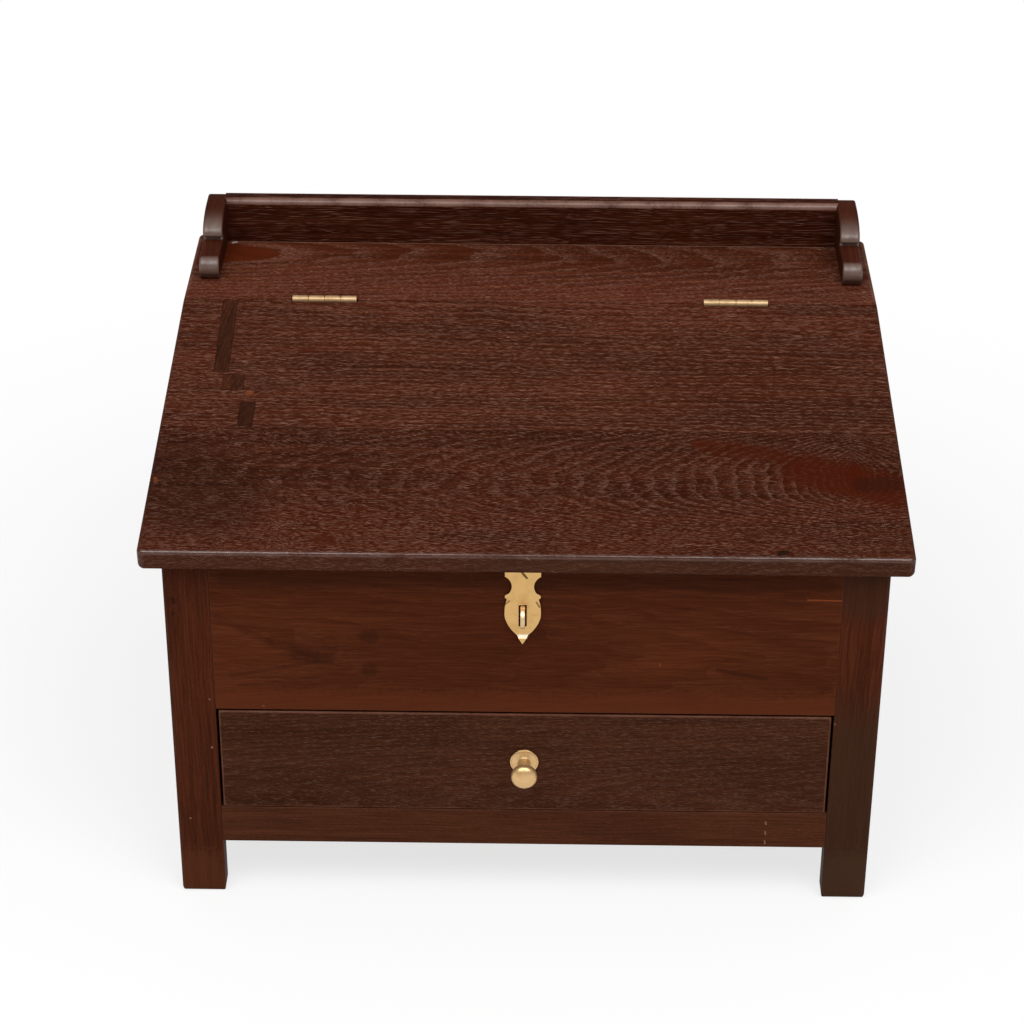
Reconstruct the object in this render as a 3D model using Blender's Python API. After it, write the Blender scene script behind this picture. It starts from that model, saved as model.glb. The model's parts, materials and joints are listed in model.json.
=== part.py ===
"""Slant-top lap desk in dark-stained hardwood, with a hinged lid, a brass hasp, one drawer and a low gallery.

Metres, +Z up, +X to the writer's right, +Y to the back. The origin is on the floor under the middle of the
desk. Each board and fitting is one object, and each moving group hangs from an empty on its own axis.
"""

import math

import bmesh
import bpy
from mathutils import Matrix, Vector
from mathutils.geometry import interpolate_bezier

# Clearances
FIT_GAP = 0.0003
DRAWER_RUN_GAP = 0.0005
DRAWER_SIDE_GAP = 0.0018
DRAWER_TOP_GAP = 0.0018
LID_SEAM = 0.0010
SLOT_END_GAP = 0.0007
SLOT_SIDE_GAP = 0.00125

# Carcass
CARCASS_WIDTH = 0.520
CARCASS_DEPTH = 0.4255
LEG_WIDTH = 0.033
LEG_DEPTH = 0.016
LEG_EASE = 0.0015
FOOT_HEIGHT = 0.048
FOOT_CHAMFER = 0.0025
PANEL_THICKNESS = 0.012
TONGUE_THICKNESS = 0.004
TONGUE_LENGTH = 0.006
RAIL_HEIGHT = 0.032
RAIL_THICKNESS = 0.016
TENON_THICKNESS = 0.006
TENON_LENGTH = 0.015
TENON_SHOULDER = 0.006
DRAWER_OPENING = 0.089
FLOOR_LIP = 0.006
FLOOR_THICKNESS = 0.008
FLOOR_GROOVE = 0.0035
RUNNER_WIDTH = 0.040
RUNNER_HEIGHT = 0.014
GUIDE_HEIGHT = 0.018

# Ledge and gallery
LEDGE_TOP = 0.352
LEDGE_DEPTH = 0.1203
LEDGE_THICKNESS = 0.016
GALLERY_HEIGHT = 0.0375
GALLERY_THICKNESS = 0.0145
GALLERY_FRONT_ROUND = 0.004
GALLERY_BACK_ROUND = 0.002
BRACKET_THICKNESS = 0.016
BRACKET_INSET = 0.0095
BRACKET_EASE = 0.0012
BRACKET_BACK_ROUND = 0.005
BRACKET_FLAT = 0.032
LIP_REACH = 0.0545
LIP_DROP = 0.0125
LIP_RADIUS = 0.0022
NOTCH_REACH = 0.048
NOTCH_RADIUS = 0.002
NOTCH_SWEEP = 130
NOSE_REACH = 0.089
NOSE_RADIUS = 0.0092
NOSE_FOOT = 0.0035
NOSE_UNDERCUT = 40
LIP_UNDERCUT = 60

# Lid
LID_OVERHANG_FRONT = 0.015
LID_OVERHANG_SIDE = 0.015
LID_THICKNESS = 0.016
LID_SLOPE = math.radians(6.93)
LID_FRONT_BOARD = 0.150
TOP_ROUND = 0.0027
UNDER_ROUND = 0.003
UNDER_FRONT_ROUND = 0.0012
CORNER_ROUND = 0.0045
PATCH_DEPTH = 0.003
# Each patch: name, its middle from the lid's left end, width, gap to the lid's back edge, length, turn
PATCHES = (
    ("lid_patch_long", 0.0385, 0.0110, 0.0016, 0.0990, math.radians(1.0)),
    ("lid_patch_square", 0.0500, 0.0160, 0.1040, 0.0190, math.radians(0.0)),
    ("lid_patch_short", 0.0635, 0.0110, 0.1400, 0.0305, math.radians(-0.6)),
)

# Butt hinges
HINGE_INSET = 0.0868
HINGE_LENGTH = 0.0508
HINGE_KNUCKLES = 4
HINGE_RISE = 0.0006
HINGE_PIN_RADIUS = 0.0013
LEAF_THICKNESS = 0.0015
LEAF_WIDTH = 0.014
LEAF_PARTING = 0.0003
LEAF_ROOT = 0.0005
LEAF_SCREW_PITCH = 0.033
LEAF_SCREW_DROP = 0.0085

# Hasp and staple
HASP_OFFSET = -0.0020
HASP_STANDOFF = 0.0015
HASP_SHEET = 0.0010
HASP_PIN_RADIUS = 0.0006
HASP_WIDTH = 0.0258
HASP_LEAF_LENGTH = 0.030
HASP_SCREW_PITCH = 0.014
HASP_SCREW_REACH = 0.023
WAIST_WIDTH = 0.0159
WAIST_DROP = 0.0180
WAIST_RADIUS = 0.0083
WAIST_RETURN = 0.8
EAR_DROP = 0.0260
EAR_RADIUS = 0.0016
EAR_SWEEP = (-30, 70)
SHOULDER_WIDTH = 0.0232
SHOULDER_DROP = 0.0298
SHIELD_WIDTH = 0.0261
SHIELD_DROP = 0.0406
SHIELD_BELLY = 0.72
BEND_WIDTH = 0.0080
BEND_DROP = 0.0597
BEND_BAND = 0.0017
BEND_ANGLE = math.radians(40.0)
TIP_DROP = 0.0656
SLOT_DROP = 0.0425
STAPLE_WIDTH = 0.0034
STAPLE_STRAP = 0.0022
STAPLE_RADIUS = 0.0085
STAPLE_REACH = 0.0130
STAPLE_SHANK = 0.009

# Drawer
DRAWER_FRONT_THICKNESS = 0.018
DRAWER_LAP = 0.008
DRAWER_EASE = 0.0010
DRAWER_SIDE_THICKNESS = 0.010
DRAWER_SIDE_HEIGHT = 0.070
DRAWER_BACK_THICKNESS = 0.010
DRAWER_BACK_DROP = 0.004
DRAWER_BOTTOM_THICKNESS = 0.005
DRAWER_BOTTOM_RISE = 0.008
DRAWER_GROOVE = 0.004

# Knob
KNOB_REACH = 0.025
KNOB_RISE = 0.0012
ROSE_RADIUS = 0.0106
ROSE_THICKNESS = 0.0022
NECK_RADIUS = 0.0042
NECK_REACH = 0.0085
NECK_FLARE = 0.45
HEAD_RADIUS = 0.0097
HEAD_REACH = 0.0195
HEAD_BACK = 0.0065
KNOB_BORE = 0.012
KNOB_SCREW_RADIUS = 0.002
KNOB_SCREW_HEAD_RADIUS = 0.004
KNOB_SCREW_HEAD = 0.0025

# Wood screws
WOOD_SCREW_RADIUS = 0.0012
WOOD_SCREW_HEAD_RADIUS = 0.0024
WOOD_SCREW_LENGTH = 0.010
WOOD_SCREW_SLOT = 0.0006

# Facets
ARC_STEPS = 8
EDGE_STEPS = 3
BARREL_SIDES = 20
KNOB_SIDES = 36
SCREW_SIDES = 12
SMOOTH_ANGLE = math.radians(35)
OVERCUT = 0.002
CUT_TOLERANCE = 1e-7
PIVOT_SIZE = 0.02
UP = Vector((0, 0, 1))

# Base colour, roughness and metallic value of each finish
FINISHES = {
    "top_wood": ((0.075, 0.026, 0.016), 0.42, 0.0),
    "front_wood": ((0.068, 0.018, 0.009), 0.45, 0.0),
    "leg_wood": ((0.050, 0.016, 0.010), 0.45, 0.0),
    "drawer_wood": ((0.050, 0.020, 0.013), 0.45, 0.0),
    "inner_wood": ((0.120, 0.055, 0.030), 0.60, 0.0),
    "patch_wood": ((0.030, 0.012, 0.008), 0.50, 0.0),
    "brass": ((0.660, 0.410, 0.155), 0.30, 1.0),
}

# Levels and planes that follow from the driving sizes
FRONT_Y = (max(KNOB_REACH + FIT_GAP, LID_OVERHANG_FRONT) - CARCASS_DEPTH) / 2
BACK_Y = FRONT_Y + CARCASS_DEPTH
HALF_WIDTH = CARCASS_WIDTH / 2
LEG_INNER_X = HALF_WIDTH - LEG_WIDTH
PANEL_INNER_X = HALF_WIDTH - PANEL_THICKNESS
PANEL_FRONT_Y = FRONT_Y + PANEL_THICKNESS
PANEL_BACK_Y = BACK_Y - PANEL_THICKNESS
LEG_FRONT_Y = FRONT_Y + LEG_DEPTH
LEG_BACK_Y = BACK_Y - LEG_DEPTH
RAIL_TOP = FOOT_HEIGHT + RAIL_HEIGHT
OPENING_TOP = RAIL_TOP + DRAWER_OPENING
FLOOR_BOTTOM = OPENING_TOP + FLOOR_LIP
LEDGE_UNDER = LEDGE_TOP - LEDGE_THICKNESS
TOP_WIDTH = CARCASS_WIDTH + 2 * LID_OVERHANG_SIDE
HINGE_Y = BACK_Y - LEDGE_DEPTH
LID_FRONT_Y = FRONT_Y - LID_OVERHANG_FRONT
LID_LENGTH = (HINGE_Y - LID_SEAM / 2 - LID_FRONT_Y) / math.cos(LID_SLOPE)
BARREL_BORE = HINGE_PIN_RADIUS + FIT_GAP
BARREL_RADIUS = BARREL_BORE + LEAF_THICKNESS
HASP_BORE = HASP_PIN_RADIUS + FIT_GAP
HASP_KNUCKLE = HASP_BORE + HASP_SHEET


def lid_top(y):
    """Height of the lid's upper face over y."""
    return LEDGE_TOP - (HINGE_Y - y) * math.tan(LID_SLOPE)


def lid_under(y):
    """Height of the lid's lower face over y."""
    return lid_top(y) - LID_THICKNESS / math.cos(LID_SLOPE)


LID_AXIS = Vector((0.0, HINGE_Y, LEDGE_TOP + HINGE_RISE))
HASP_Y = FRONT_Y - HASP_STANDOFF - HASP_KNUCKLE
HASP_AXIS = Vector((HASP_OFFSET, HASP_Y, lid_under(HASP_Y) - HASP_BORE / math.cos(LID_SLOPE)))
LID_PLACE = Matrix.Translation((0.0, LID_FRONT_Y, lid_top(LID_FRONT_Y))) @ Matrix.Rotation(LID_SLOPE, 4, "X")
HASP_LEAF_PLACE = Matrix.Translation(HASP_AXIS) @ Matrix.Rotation(LID_SLOPE, 4, "X")


# Making and joining solids


def clear_scene():
    for old in list(bpy.data.objects):
        bpy.data.objects.remove(old)


def finish_material(finish):
    """The Principled material of one finish, made the first time it is asked for."""
    found = bpy.data.materials.get(finish)
    if found:
        return found
    colour, roughness, metallic = FINISHES[finish]
    made = bpy.data.materials.new(finish)
    made.use_nodes = True
    shader = made.node_tree.nodes["Principled BSDF"]
    shader.inputs["Base Color"].default_value = (*colour, 1.0)
    shader.inputs["Roughness"].default_value = roughness
    shader.inputs["Metallic"].default_value = metallic
    return made


def new_object(name, shape, finish=None, smooth=False):
    """An object from a bmesh whose points are already in world space."""
    bmesh.ops.recalc_face_normals(shape, faces=shape.faces)
    mesh = bpy.data.meshes.new(name)
    shape.to_mesh(mesh)
    shape.free()
    if smooth:
        mesh.shade_smooth()
        mesh.set_sharp_from_angle(angle=SMOOTH_ANGLE)
    made = bpy.data.objects.new(name, mesh)
    bpy.context.scene.collection.objects.link(made)
    if finish:
        mesh.materials.append(finish_material(finish))
    return made


def combine(piece, shape, operation):
    """A Boolean of piece with a helper shape that rides on it and isn't rendered."""
    tool = new_object(f"{piece.name}_tool", shape, smooth=piece.data.polygons[0].use_smooth)
    tool.hide_render = True
    tool.display_type = "WIRE"
    tool.parent = piece
    step = piece.modifiers.new(tool.name, "BOOLEAN")
    step.operation = operation
    step.object = tool


def cut(piece, shape):
    combine(piece, shape, "DIFFERENCE")


def fuse(piece, shape):
    combine(piece, shape, "UNION")


def pivot(name, point):
    """An empty on a joint's axis."""
    empty = bpy.data.objects.new(name, None)
    empty.empty_display_size = PIVOT_SIZE
    empty.location = point
    bpy.context.scene.collection.objects.link(empty)
    return empty


def hang(pieces, empty, point):
    """Parents pieces to the empty at point, leaving them where they are."""
    for piece in pieces:
        piece.parent = empty
        piece.matrix_parent_inverse = Matrix.Translation(-Vector(point))


# Shapes


def prism(outline, axis, start, stop):
    """An outline carried along an axis: (y, z) along X, (x, z) along Y or (x, y) along Z."""
    place = {
        "X": lambda a, b, t: (t, a, b),
        "Y": lambda a, b, t: (a, t, b),
        "Z": lambda a, b, t: (a, b, t),
    }[axis]
    shape = bmesh.new()
    near = [shape.verts.new(place(a, b, start)) for a, b in outline]
    far = [shape.verts.new(place(a, b, stop)) for a, b in outline]
    bridge(shape, [near, far])
    shape.faces.new(near)
    shape.faces.new(far)
    return shape


def bridge(shape, loops):
    """Quads between each loop of points and the next."""
    count = len(loops[0])
    for low, high in zip(loops, loops[1:]):
        for i in range(count):
            j = (i + 1) % count
            shape.faces.new((low[i], low[j], high[j], high[i]))


def box(low, high):
    outline = ((low[0], low[1]), (high[0], low[1]), (high[0], high[1]), (low[0], high[1]))
    return prism(outline, "Z", low[2], high[2])


def arc(centre, radii, start, stop, steps=ARC_STEPS):
    """Points of an ellipse's arc, angles in degrees, both ends included."""
    angles = [math.radians(start + (stop - start) * i / steps) for i in range(steps + 1)]
    return [(centre[0] + radii[0] * math.cos(a), centre[1] + radii[1] * math.sin(a)) for a in angles]


def lathe(profile, point, direction, sides):
    """A (distance, radius) profile turned about a line. Off the axis at its ends, it closes into a ring."""
    turn = UP.rotation_difference(Vector(direction))
    shape = bmesh.new()
    loops = []
    for distance, radius in profile:
        angles = [2 * math.pi * i / sides for i in range(sides if radius else 1)]
        spots = [Vector((radius * math.cos(a), radius * math.sin(a), distance)) for a in angles]
        loops.append([shape.verts.new(Vector(point) + turn @ spot) for spot in spots])
    pairs = list(zip(loops, loops[1:]))
    if profile[0][1]:
        pairs.append((loops[-1], loops[0]))
    for low, high in pairs:
        for i in range(sides):
            j = (i + 1) % sides
            corners = (low[i % len(low)], low[j % len(low)], high[j % len(high)], high[i % len(high)])
            shape.faces.new(list(dict.fromkeys(corners)))
    return shape


def cylinder(start, direction, length, radius, sides):
    return lathe(((0, 0), (0, radius), (length, radius), (length, 0)), start, direction, sides)


def ring(start_x, stop_x, axis_point, outer, inner):
    """A hinge knuckle: a tube along X about axis_point, its ends measured from there."""
    length = stop_x - start_x
    profile = ((0, inner), (0, outer), (length, outer), (length, inner))
    return lathe(profile, axis_point + Vector((start_x, 0, 0)), (1, 0, 0), BARREL_SIDES)


def ease(shape, width, wanted, steps=EDGE_STEPS):
    """Rounds the edges whose middle and direction satisfy wanted."""
    bmesh.ops.recalc_face_normals(shape, faces=shape.faces)
    edges = []
    for edge in shape.edges:
        first, second = (corner.co for corner in edge.verts)
        if wanted((first + second) / 2, (second - first).normalized()):
            edges.append(edge)
    bmesh.ops.bevel(shape, geom=edges, offset=width, segments=steps, profile=0.5, affect="EDGES")


def plane_off(shape, point, normal):
    """Cuts away everything on the normal's side of a plane and closes the cut."""
    everything = shape.verts[:] + shape.edges[:] + shape.faces[:]
    made = bmesh.ops.bisect_plane(
        shape, geom=everything, dist=CUT_TOLERANCE, plane_co=point, plane_no=normal, clear_outer=True
    )
    rim = [part for part in made["geom_cut"] if isinstance(part, bmesh.types.BMEdge)]
    if rim:
        bmesh.ops.edgenet_fill(shape, edges=rim)


def tongued_plan(start, stop, near, far):
    """Plan of a panel along X from start to stop, with a centred tongue beyond each end."""
    low = (near + far - TONGUE_THICKNESS) / 2
    high = low + TONGUE_THICKNESS
    return [
        (start, near),
        (stop, near),
        (stop, low),
        (stop + TONGUE_LENGTH, low),
        (stop + TONGUE_LENGTH, high),
        (stop, high),
        (stop, far),
        (start, far),
        (start, high),
        (start - TONGUE_LENGTH, high),
        (start - TONGUE_LENGTH, low),
        (start, low),
    ]


def upright(plan, bottom):
    """A plan carried up to the ledge, its top planed to the slope under the lid."""
    shape = prism(plan, "Z", bottom, LEDGE_UNDER - FIT_GAP)
    normal = Vector((0, -math.sin(LID_SLOPE), math.cos(LID_SLOPE)))
    plane_off(shape, Vector((0, FRONT_Y, lid_under(FRONT_Y) - FIT_GAP)), normal)
    return shape


def eased_board(start, stop, thickness, round_front, round_back, rake=0.0):
    """A board across X from start to stop with its upper face at height 0.

    Its ends, and its front or back where asked, have a round above and another below, which is fuller on the
    ends. The profile is a list of (inset, height), and each level is the plan drawn in by its inset. The back
    edge leans by rake.
    """
    levels = []
    for i in range(EDGE_STEPS + 1):
        angle = math.pi / 2 * i / EDGE_STEPS
        levels.append((UNDER_ROUND * (1 - math.sin(angle)), UNDER_ROUND * (1 - math.cos(angle)) - thickness))
    for i in range(EDGE_STEPS + 1):
        angle = math.pi / 2 * i / EDGE_STEPS
        levels.append((TOP_ROUND * (1 - math.cos(angle)), TOP_ROUND * (math.sin(angle) - 1)))
    shape = bmesh.new()
    loops = []
    for inset, height in levels:
        half = TOP_WIDTH / 2 - inset
        radius = CORNER_ROUND - inset
        drawn = inset * UNDER_FRONT_ROUND / UNDER_ROUND if height < -thickness / 2 else inset
        near = start + (drawn if round_front else 0)
        far = stop - (drawn if round_back else 0) + height * math.tan(rake)
        plan = []
        if round_front:
            plan += arc((-half + radius, near + radius), (radius, radius), 180, 270, EDGE_STEPS)
            plan += arc((half - radius, near + radius), (radius, radius), 270, 360, EDGE_STEPS)
        else:
            plan += [(-half, near), (half, near)]
        if round_back:
            plan += arc((half - radius, far - radius), (radius, radius), 0, 90, EDGE_STEPS)
            plan += arc((-half + radius, far - radius), (radius, radius), 90, 180, EDGE_STEPS)
        else:
            plan += [(half, far), (-half, far)]
        loops.append([shape.verts.new((x, y, height)) for x, y in plan])
    bridge(shape, loops)
    shape.faces.new(loops[0])
    shape.faces.new(loops[-1])
    return shape


def screw_shape(point, direction, spare=0.0):
    """A countersunk wood screw with its head's face at point, or with spare as clearance the hole for it."""
    head = WOOD_SCREW_HEAD_RADIUS + spare
    shank = WOOD_SCREW_RADIUS + spare
    taper = WOOD_SCREW_HEAD_RADIUS - WOOD_SCREW_RADIUS
    straight = WOOD_SCREW_LENGTH - 2 * WOOD_SCREW_RADIUS
    start = -OVERCUT if spare else 0.0
    profile = [(start, 0), (start, head), (0, head), (taper, shank), (straight, shank)]
    profile.append((WOOD_SCREW_LENGTH + spare, 0))
    if not spare:
        profile.pop(2)
    return lathe(profile, point, direction, SCREW_SIDES)


def add_screw(name, point, direction, holders):
    """A slotted screw, its head sunk by the fit gap, and its hole in each of the pieces that it holds."""
    direction = Vector(direction).normalized()
    sunk = Vector(point) + direction * FIT_GAP
    screw = new_object(name, screw_shape(sunk, direction), "brass", smooth=True)
    half = Vector((WOOD_SCREW_HEAD_RADIUS + OVERCUT, WOOD_SCREW_SLOT / 2, WOOD_SCREW_SLOT))
    slot = box(-half, half)
    slot.transform(Matrix.Translation(sunk) @ direction.to_track_quat("Z", "Y").to_matrix().to_4x4())
    cut(screw, slot)
    for holder in holders:
        cut(holder, screw_shape(sunk, direction, FIT_GAP))
    return screw


# Carcass


def make_legs():
    """Four square legs, chamfered at the foot, grooved for the panels and mortised for the rail."""
    for side, sign in (("left", -1), ("right", 1)):
        for end, near, far in (("front", FRONT_Y, LEG_FRONT_Y), ("back", LEG_BACK_Y, BACK_Y)):
            inner, outer = sorted((sign * LEG_INNER_X, sign * HALF_WIDTH))
            shape = upright([(inner, near), (outer, near), (outer, far), (inner, far)], 0.0)
            outer_x = sign * HALF_WIDTH
            outer_y = FRONT_Y if end == "front" else BACK_Y

            def is_corner(middle, along, x=outer_x, y=outer_y):
                return abs(along.z) > 0.99 and (middle.xy - Vector((x, y))).length < LEG_EASE

            ease(shape, LEG_EASE, is_corner)
            ease(shape, FOOT_CHAMFER, lambda middle, along: abs(middle.z) < FOOT_CHAMFER / 2, 1)
            groove_leg(new_object(f"leg_{end}_{side}", shape, "leg_wood"), end, sign)


def groove_leg(leg, end, sign):
    """The grooves that take the tongues of the two panels meeting in a leg, and the rail's mortise."""
    half = TONGUE_THICKNESS / 2 + FIT_GAP
    depth = TONGUE_LENGTH + FIT_GAP
    front = end == "front"
    across = PANEL_FRONT_Y - PANEL_THICKNESS / 2 if front else PANEL_BACK_Y + PANEL_THICKNESS / 2
    low = OPENING_TOP if front else FOOT_HEIGHT
    xs = sorted((sign * (LEG_INNER_X - OVERCUT), sign * (LEG_INNER_X + depth)))
    cut(leg, box((xs[0], across - half, low - FIT_GAP), (xs[1], across + half, LEDGE_TOP)))
    middle = sign * (HALF_WIDTH - PANEL_THICKNESS / 2)
    ys = (LEG_FRONT_Y - depth, LEG_FRONT_Y + OVERCUT) if front else (LEG_BACK_Y - OVERCUT, LEG_BACK_Y + depth)
    cut(leg, box((middle - half, ys[0], FOOT_HEIGHT - FIT_GAP), (middle + half, ys[1], LEDGE_TOP)))
    if front:
        rail_y = FRONT_Y + RAIL_THICKNESS / 2
        half = TENON_THICKNESS / 2 + FIT_GAP
        xs = sorted((sign * (LEG_INNER_X - OVERCUT), sign * (LEG_INNER_X + TENON_LENGTH + FIT_GAP)))
        low = FOOT_HEIGHT + TENON_SHOULDER - FIT_GAP
        high = RAIL_TOP - TENON_SHOULDER + FIT_GAP
        cut(leg, box((xs[0], rail_y - half, low), (xs[1], rail_y + half, high)))


def make_panels():
    """Front, back and side panels, tongued into the legs and grooved for the floor; returns the front one."""
    low, high = FLOOR_BOTTOM - FIT_GAP, FLOOR_BOTTOM + FLOOR_THICKNESS + FIT_GAP
    reach = LEG_INNER_X - FIT_GAP
    front_plan = tongued_plan(-reach, reach, FRONT_Y, PANEL_FRONT_Y)
    front = new_object("front_panel", upright(front_plan, OPENING_TOP), "front_wood")
    near, far = PANEL_FRONT_Y - FLOOR_GROOVE, PANEL_FRONT_Y + OVERCUT
    cut(front, box((-LEG_INNER_X, near, low), (LEG_INNER_X, far, high)))
    back_plan = tongued_plan(-reach, reach, PANEL_BACK_Y, BACK_Y)
    back = new_object("back_panel", upright(back_plan, FOOT_HEIGHT), "front_wood")
    near, far = PANEL_BACK_Y - OVERCUT, PANEL_BACK_Y + FLOOR_GROOVE
    cut(back, box((-LEG_INNER_X, near, low), (LEG_INNER_X, far, high)))
    for side, sign in (("left", -1), ("right", 1)):
        near, far = sorted((sign * PANEL_INNER_X, sign * HALF_WIDTH))
        run = tongued_plan(LEG_FRONT_Y + FIT_GAP, LEG_BACK_Y - FIT_GAP, near, far)
        plan = [(x, y) for y, x in run]
        panel = new_object(f"side_panel_{side}", upright(plan, FOOT_HEIGHT), "front_wood")
        xs = sorted((sign * (PANEL_INNER_X - OVERCUT), sign * (PANEL_INNER_X + FLOOR_GROOVE)))
        cut(panel, box((xs[0], LEG_FRONT_Y, low), (xs[1], LEG_BACK_Y, high)))
    return front


def make_floor():
    """The compartment's floor: a board let into the four panels and notched round the legs."""
    grip = FLOOR_GROOVE - FIT_GAP
    corner_x = LEG_INNER_X - FIT_GAP
    wide_x = PANEL_INNER_X + grip
    front, back = PANEL_FRONT_Y - grip, PANEL_BACK_Y + grip
    near, far = LEG_FRONT_Y + FIT_GAP, LEG_BACK_Y - FIT_GAP
    right = [(corner_x, front), (corner_x, near), (wide_x, near)]
    right += [(wide_x, far), (corner_x, far), (corner_x, back)]
    left = [(-x, y) for x, y in reversed(right)]
    shape = prism(right + left, "Z", FLOOR_BOTTOM, FLOOR_BOTTOM + FLOOR_THICKNESS)
    new_object("compartment_floor", shape, "inner_wood")


def make_rail():
    """The rail under the drawer, tenoned into the front legs."""
    reach = LEG_INNER_X - FIT_GAP
    shape = box((-reach, FRONT_Y, FOOT_HEIGHT), (reach, FRONT_Y + RAIL_THICKNESS, RAIL_TOP))
    rail = new_object("front_rail", shape, "front_wood")
    tenon = LEG_INNER_X + TENON_LENGTH
    middle = FRONT_Y + RAIL_THICKNESS / 2
    low = (-tenon, middle - TENON_THICKNESS / 2, FOOT_HEIGHT + TENON_SHOULDER)
    high = (tenon, middle + TENON_THICKNESS / 2, RAIL_TOP - TENON_SHOULDER)
    fuse(rail, box(low, high))


def make_runners():
    """Under each side of the drawer a runner level with the rail, with a guide on it flush with the leg."""
    near = FRONT_Y + max(LEG_DEPTH, RAIL_THICKNESS) + FIT_GAP
    far = LEG_BACK_Y - FIT_GAP
    wall = PANEL_INNER_X - FIT_GAP
    for side, sign in (("left", -1), ("right", 1)):
        xs = sorted((sign * (PANEL_INNER_X - RUNNER_WIDTH), sign * wall))
        runner = box((xs[0], near, RAIL_TOP - RUNNER_HEIGHT), (xs[1], far, RAIL_TOP))
        new_object(f"drawer_runner_{side}", runner, "inner_wood")
        xs = sorted((sign * LEG_INNER_X, sign * wall))
        low = RAIL_TOP + FIT_GAP
        guide = box((xs[0], near, low), (xs[1], far, low + GUIDE_HEIGHT))
        new_object(f"drawer_guide_{side}", guide, "inner_wood")


# Ledge and gallery


def make_ledge():
    shape = eased_board(HINGE_Y + LID_SEAM / 2, BACK_Y, LEDGE_THICKNESS, False, True)
    shape.transform(Matrix.Translation((0, 0, LEDGE_TOP)))
    return new_object("ledge_board", shape, "top_wood")


def bracket_outline():
    """Side view of a gallery bracket as (forward of its back face, up from the ledge).

    A flat top falls in a quarter ellipse to a rounded lip, cuts back under it to a notch, and runs out over a
    lower arm to a bull nose whose foot is drawn in a little.
    """
    nose = (NOSE_REACH - NOSE_RADIUS, GALLERY_HEIGHT / 2 - NOSE_RADIUS)
    arm_top = nose[1] + NOSE_RADIUS
    lip = (LIP_REACH - LIP_RADIUS, GALLERY_HEIGHT - LIP_DROP)
    notch = (NOTCH_REACH, arm_top + NOTCH_RADIUS)
    fall = (LIP_REACH - BRACKET_FLAT, LIP_DROP)
    outline = [(0.0, 0.0), (NOSE_REACH - NOSE_FOOT, 0.0)]
    outline += arc(nose, (NOSE_RADIUS, NOSE_RADIUS), -NOSE_UNDERCUT, 90)
    outline += arc(notch, (NOTCH_RADIUS, NOTCH_RADIUS), -90, -90 - NOTCH_SWEEP, EDGE_STEPS)
    outline += arc(lip, (LIP_RADIUS, LIP_RADIUS), -LIP_UNDERCUT, 0, EDGE_STEPS)
    outline += arc((BRACKET_FLAT, GALLERY_HEIGHT - LIP_DROP), fall, 0, 90)[1:]
    turn = (BRACKET_BACK_ROUND, GALLERY_HEIGHT - BRACKET_BACK_ROUND)
    outline += arc(turn, (BRACKET_BACK_ROUND, BRACKET_BACK_ROUND), 90, 180, EDGE_STEPS)
    return outline


def make_gallery():
    """The gallery's back rail between two scrolled brackets that stand on the ledge."""
    foot = LEDGE_TOP + FIT_GAP
    outer = TOP_WIDTH / 2 - BRACKET_INSET
    inner = outer - BRACKET_THICKNESS
    side_view = [(BACK_Y - forward, foot + up) for forward, up in bracket_outline()]
    for side, sign in (("left", -1), ("right", 1)):
        xs = sorted((sign * inner, sign * outer))
        shape = prism(side_view, "X", *xs)
        ease(shape, BRACKET_EASE, lambda middle, along: abs(along.x) < 0.5 and middle.z > foot, 1)
        new_object(f"gallery_bracket_{side}", shape, "top_wood", smooth=True)
    top = foot + GALLERY_HEIGHT
    front = BACK_Y - GALLERY_THICKNESS
    back_turn = (BACK_Y - GALLERY_BACK_ROUND, top - GALLERY_BACK_ROUND)
    front_turn = (front + GALLERY_FRONT_ROUND, top - GALLERY_FRONT_ROUND)
    outline = [(front, foot), (BACK_Y, foot)]
    outline += arc(back_turn, (GALLERY_BACK_ROUND, GALLERY_BACK_ROUND), 0, 90, EDGE_STEPS)
    outline += arc(front_turn, (GALLERY_FRONT_ROUND, GALLERY_FRONT_ROUND), 90, 180, EDGE_STEPS)
    shape = prism(outline, "X", -inner + FIT_GAP, inner - FIT_GAP)
    new_object("gallery_back", shape, "top_wood")


# Lid


def make_lid():
    """Two boards glued edge to edge, the rear one's back edge plumb, and three patches let in to either."""
    half_joint = FIT_GAP / 2
    shape = eased_board(0.0, LID_FRONT_BOARD - half_joint, LID_THICKNESS, True, False)
    shape.transform(LID_PLACE)
    front = new_object("lid_board_front", shape, "top_wood")
    shape = eased_board(LID_FRONT_BOARD + half_joint, LID_LENGTH, LID_THICKNESS, False, False, LID_SLOPE)
    shape.transform(LID_PLACE)
    back = new_object("lid_board_back", shape, "top_wood")
    patches = []
    for name, from_end, width, from_back, length, turn in PATCHES:
        middle = Vector((from_end - TOP_WIDTH / 2, LID_LENGTH - from_back - length / 2, 0))
        place = LID_PLACE @ Matrix.Translation(middle) @ Matrix.Rotation(turn, 4, "Z")
        patch = box((-width / 2, -length / 2, -PATCH_DEPTH), (width / 2, length / 2, 0))
        patch.transform(place)
        patches.append(new_object(name, patch, "patch_wood"))
        side, end = width / 2 + FIT_GAP, length / 2 + FIT_GAP
        for board in (front, back):
            pocket = box((-side, -end, -PATCH_DEPTH - FIT_GAP), (side, end, OVERCUT))
            pocket.transform(place)
            cut(board, pocket)
    return front, back, patches


# Butt hinges


def hinge_knuckles(centre):
    """Ends along X of each knuckle of the hinge at centre."""
    pitch = HINGE_LENGTH / HINGE_KNUCKLES
    start = centre - HINGE_LENGTH / 2
    gap = FIT_GAP / 2
    return [(start + i * pitch + gap, start + (i + 1) * pitch - gap) for i in range(HINGE_KNUCKLES)]


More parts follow.
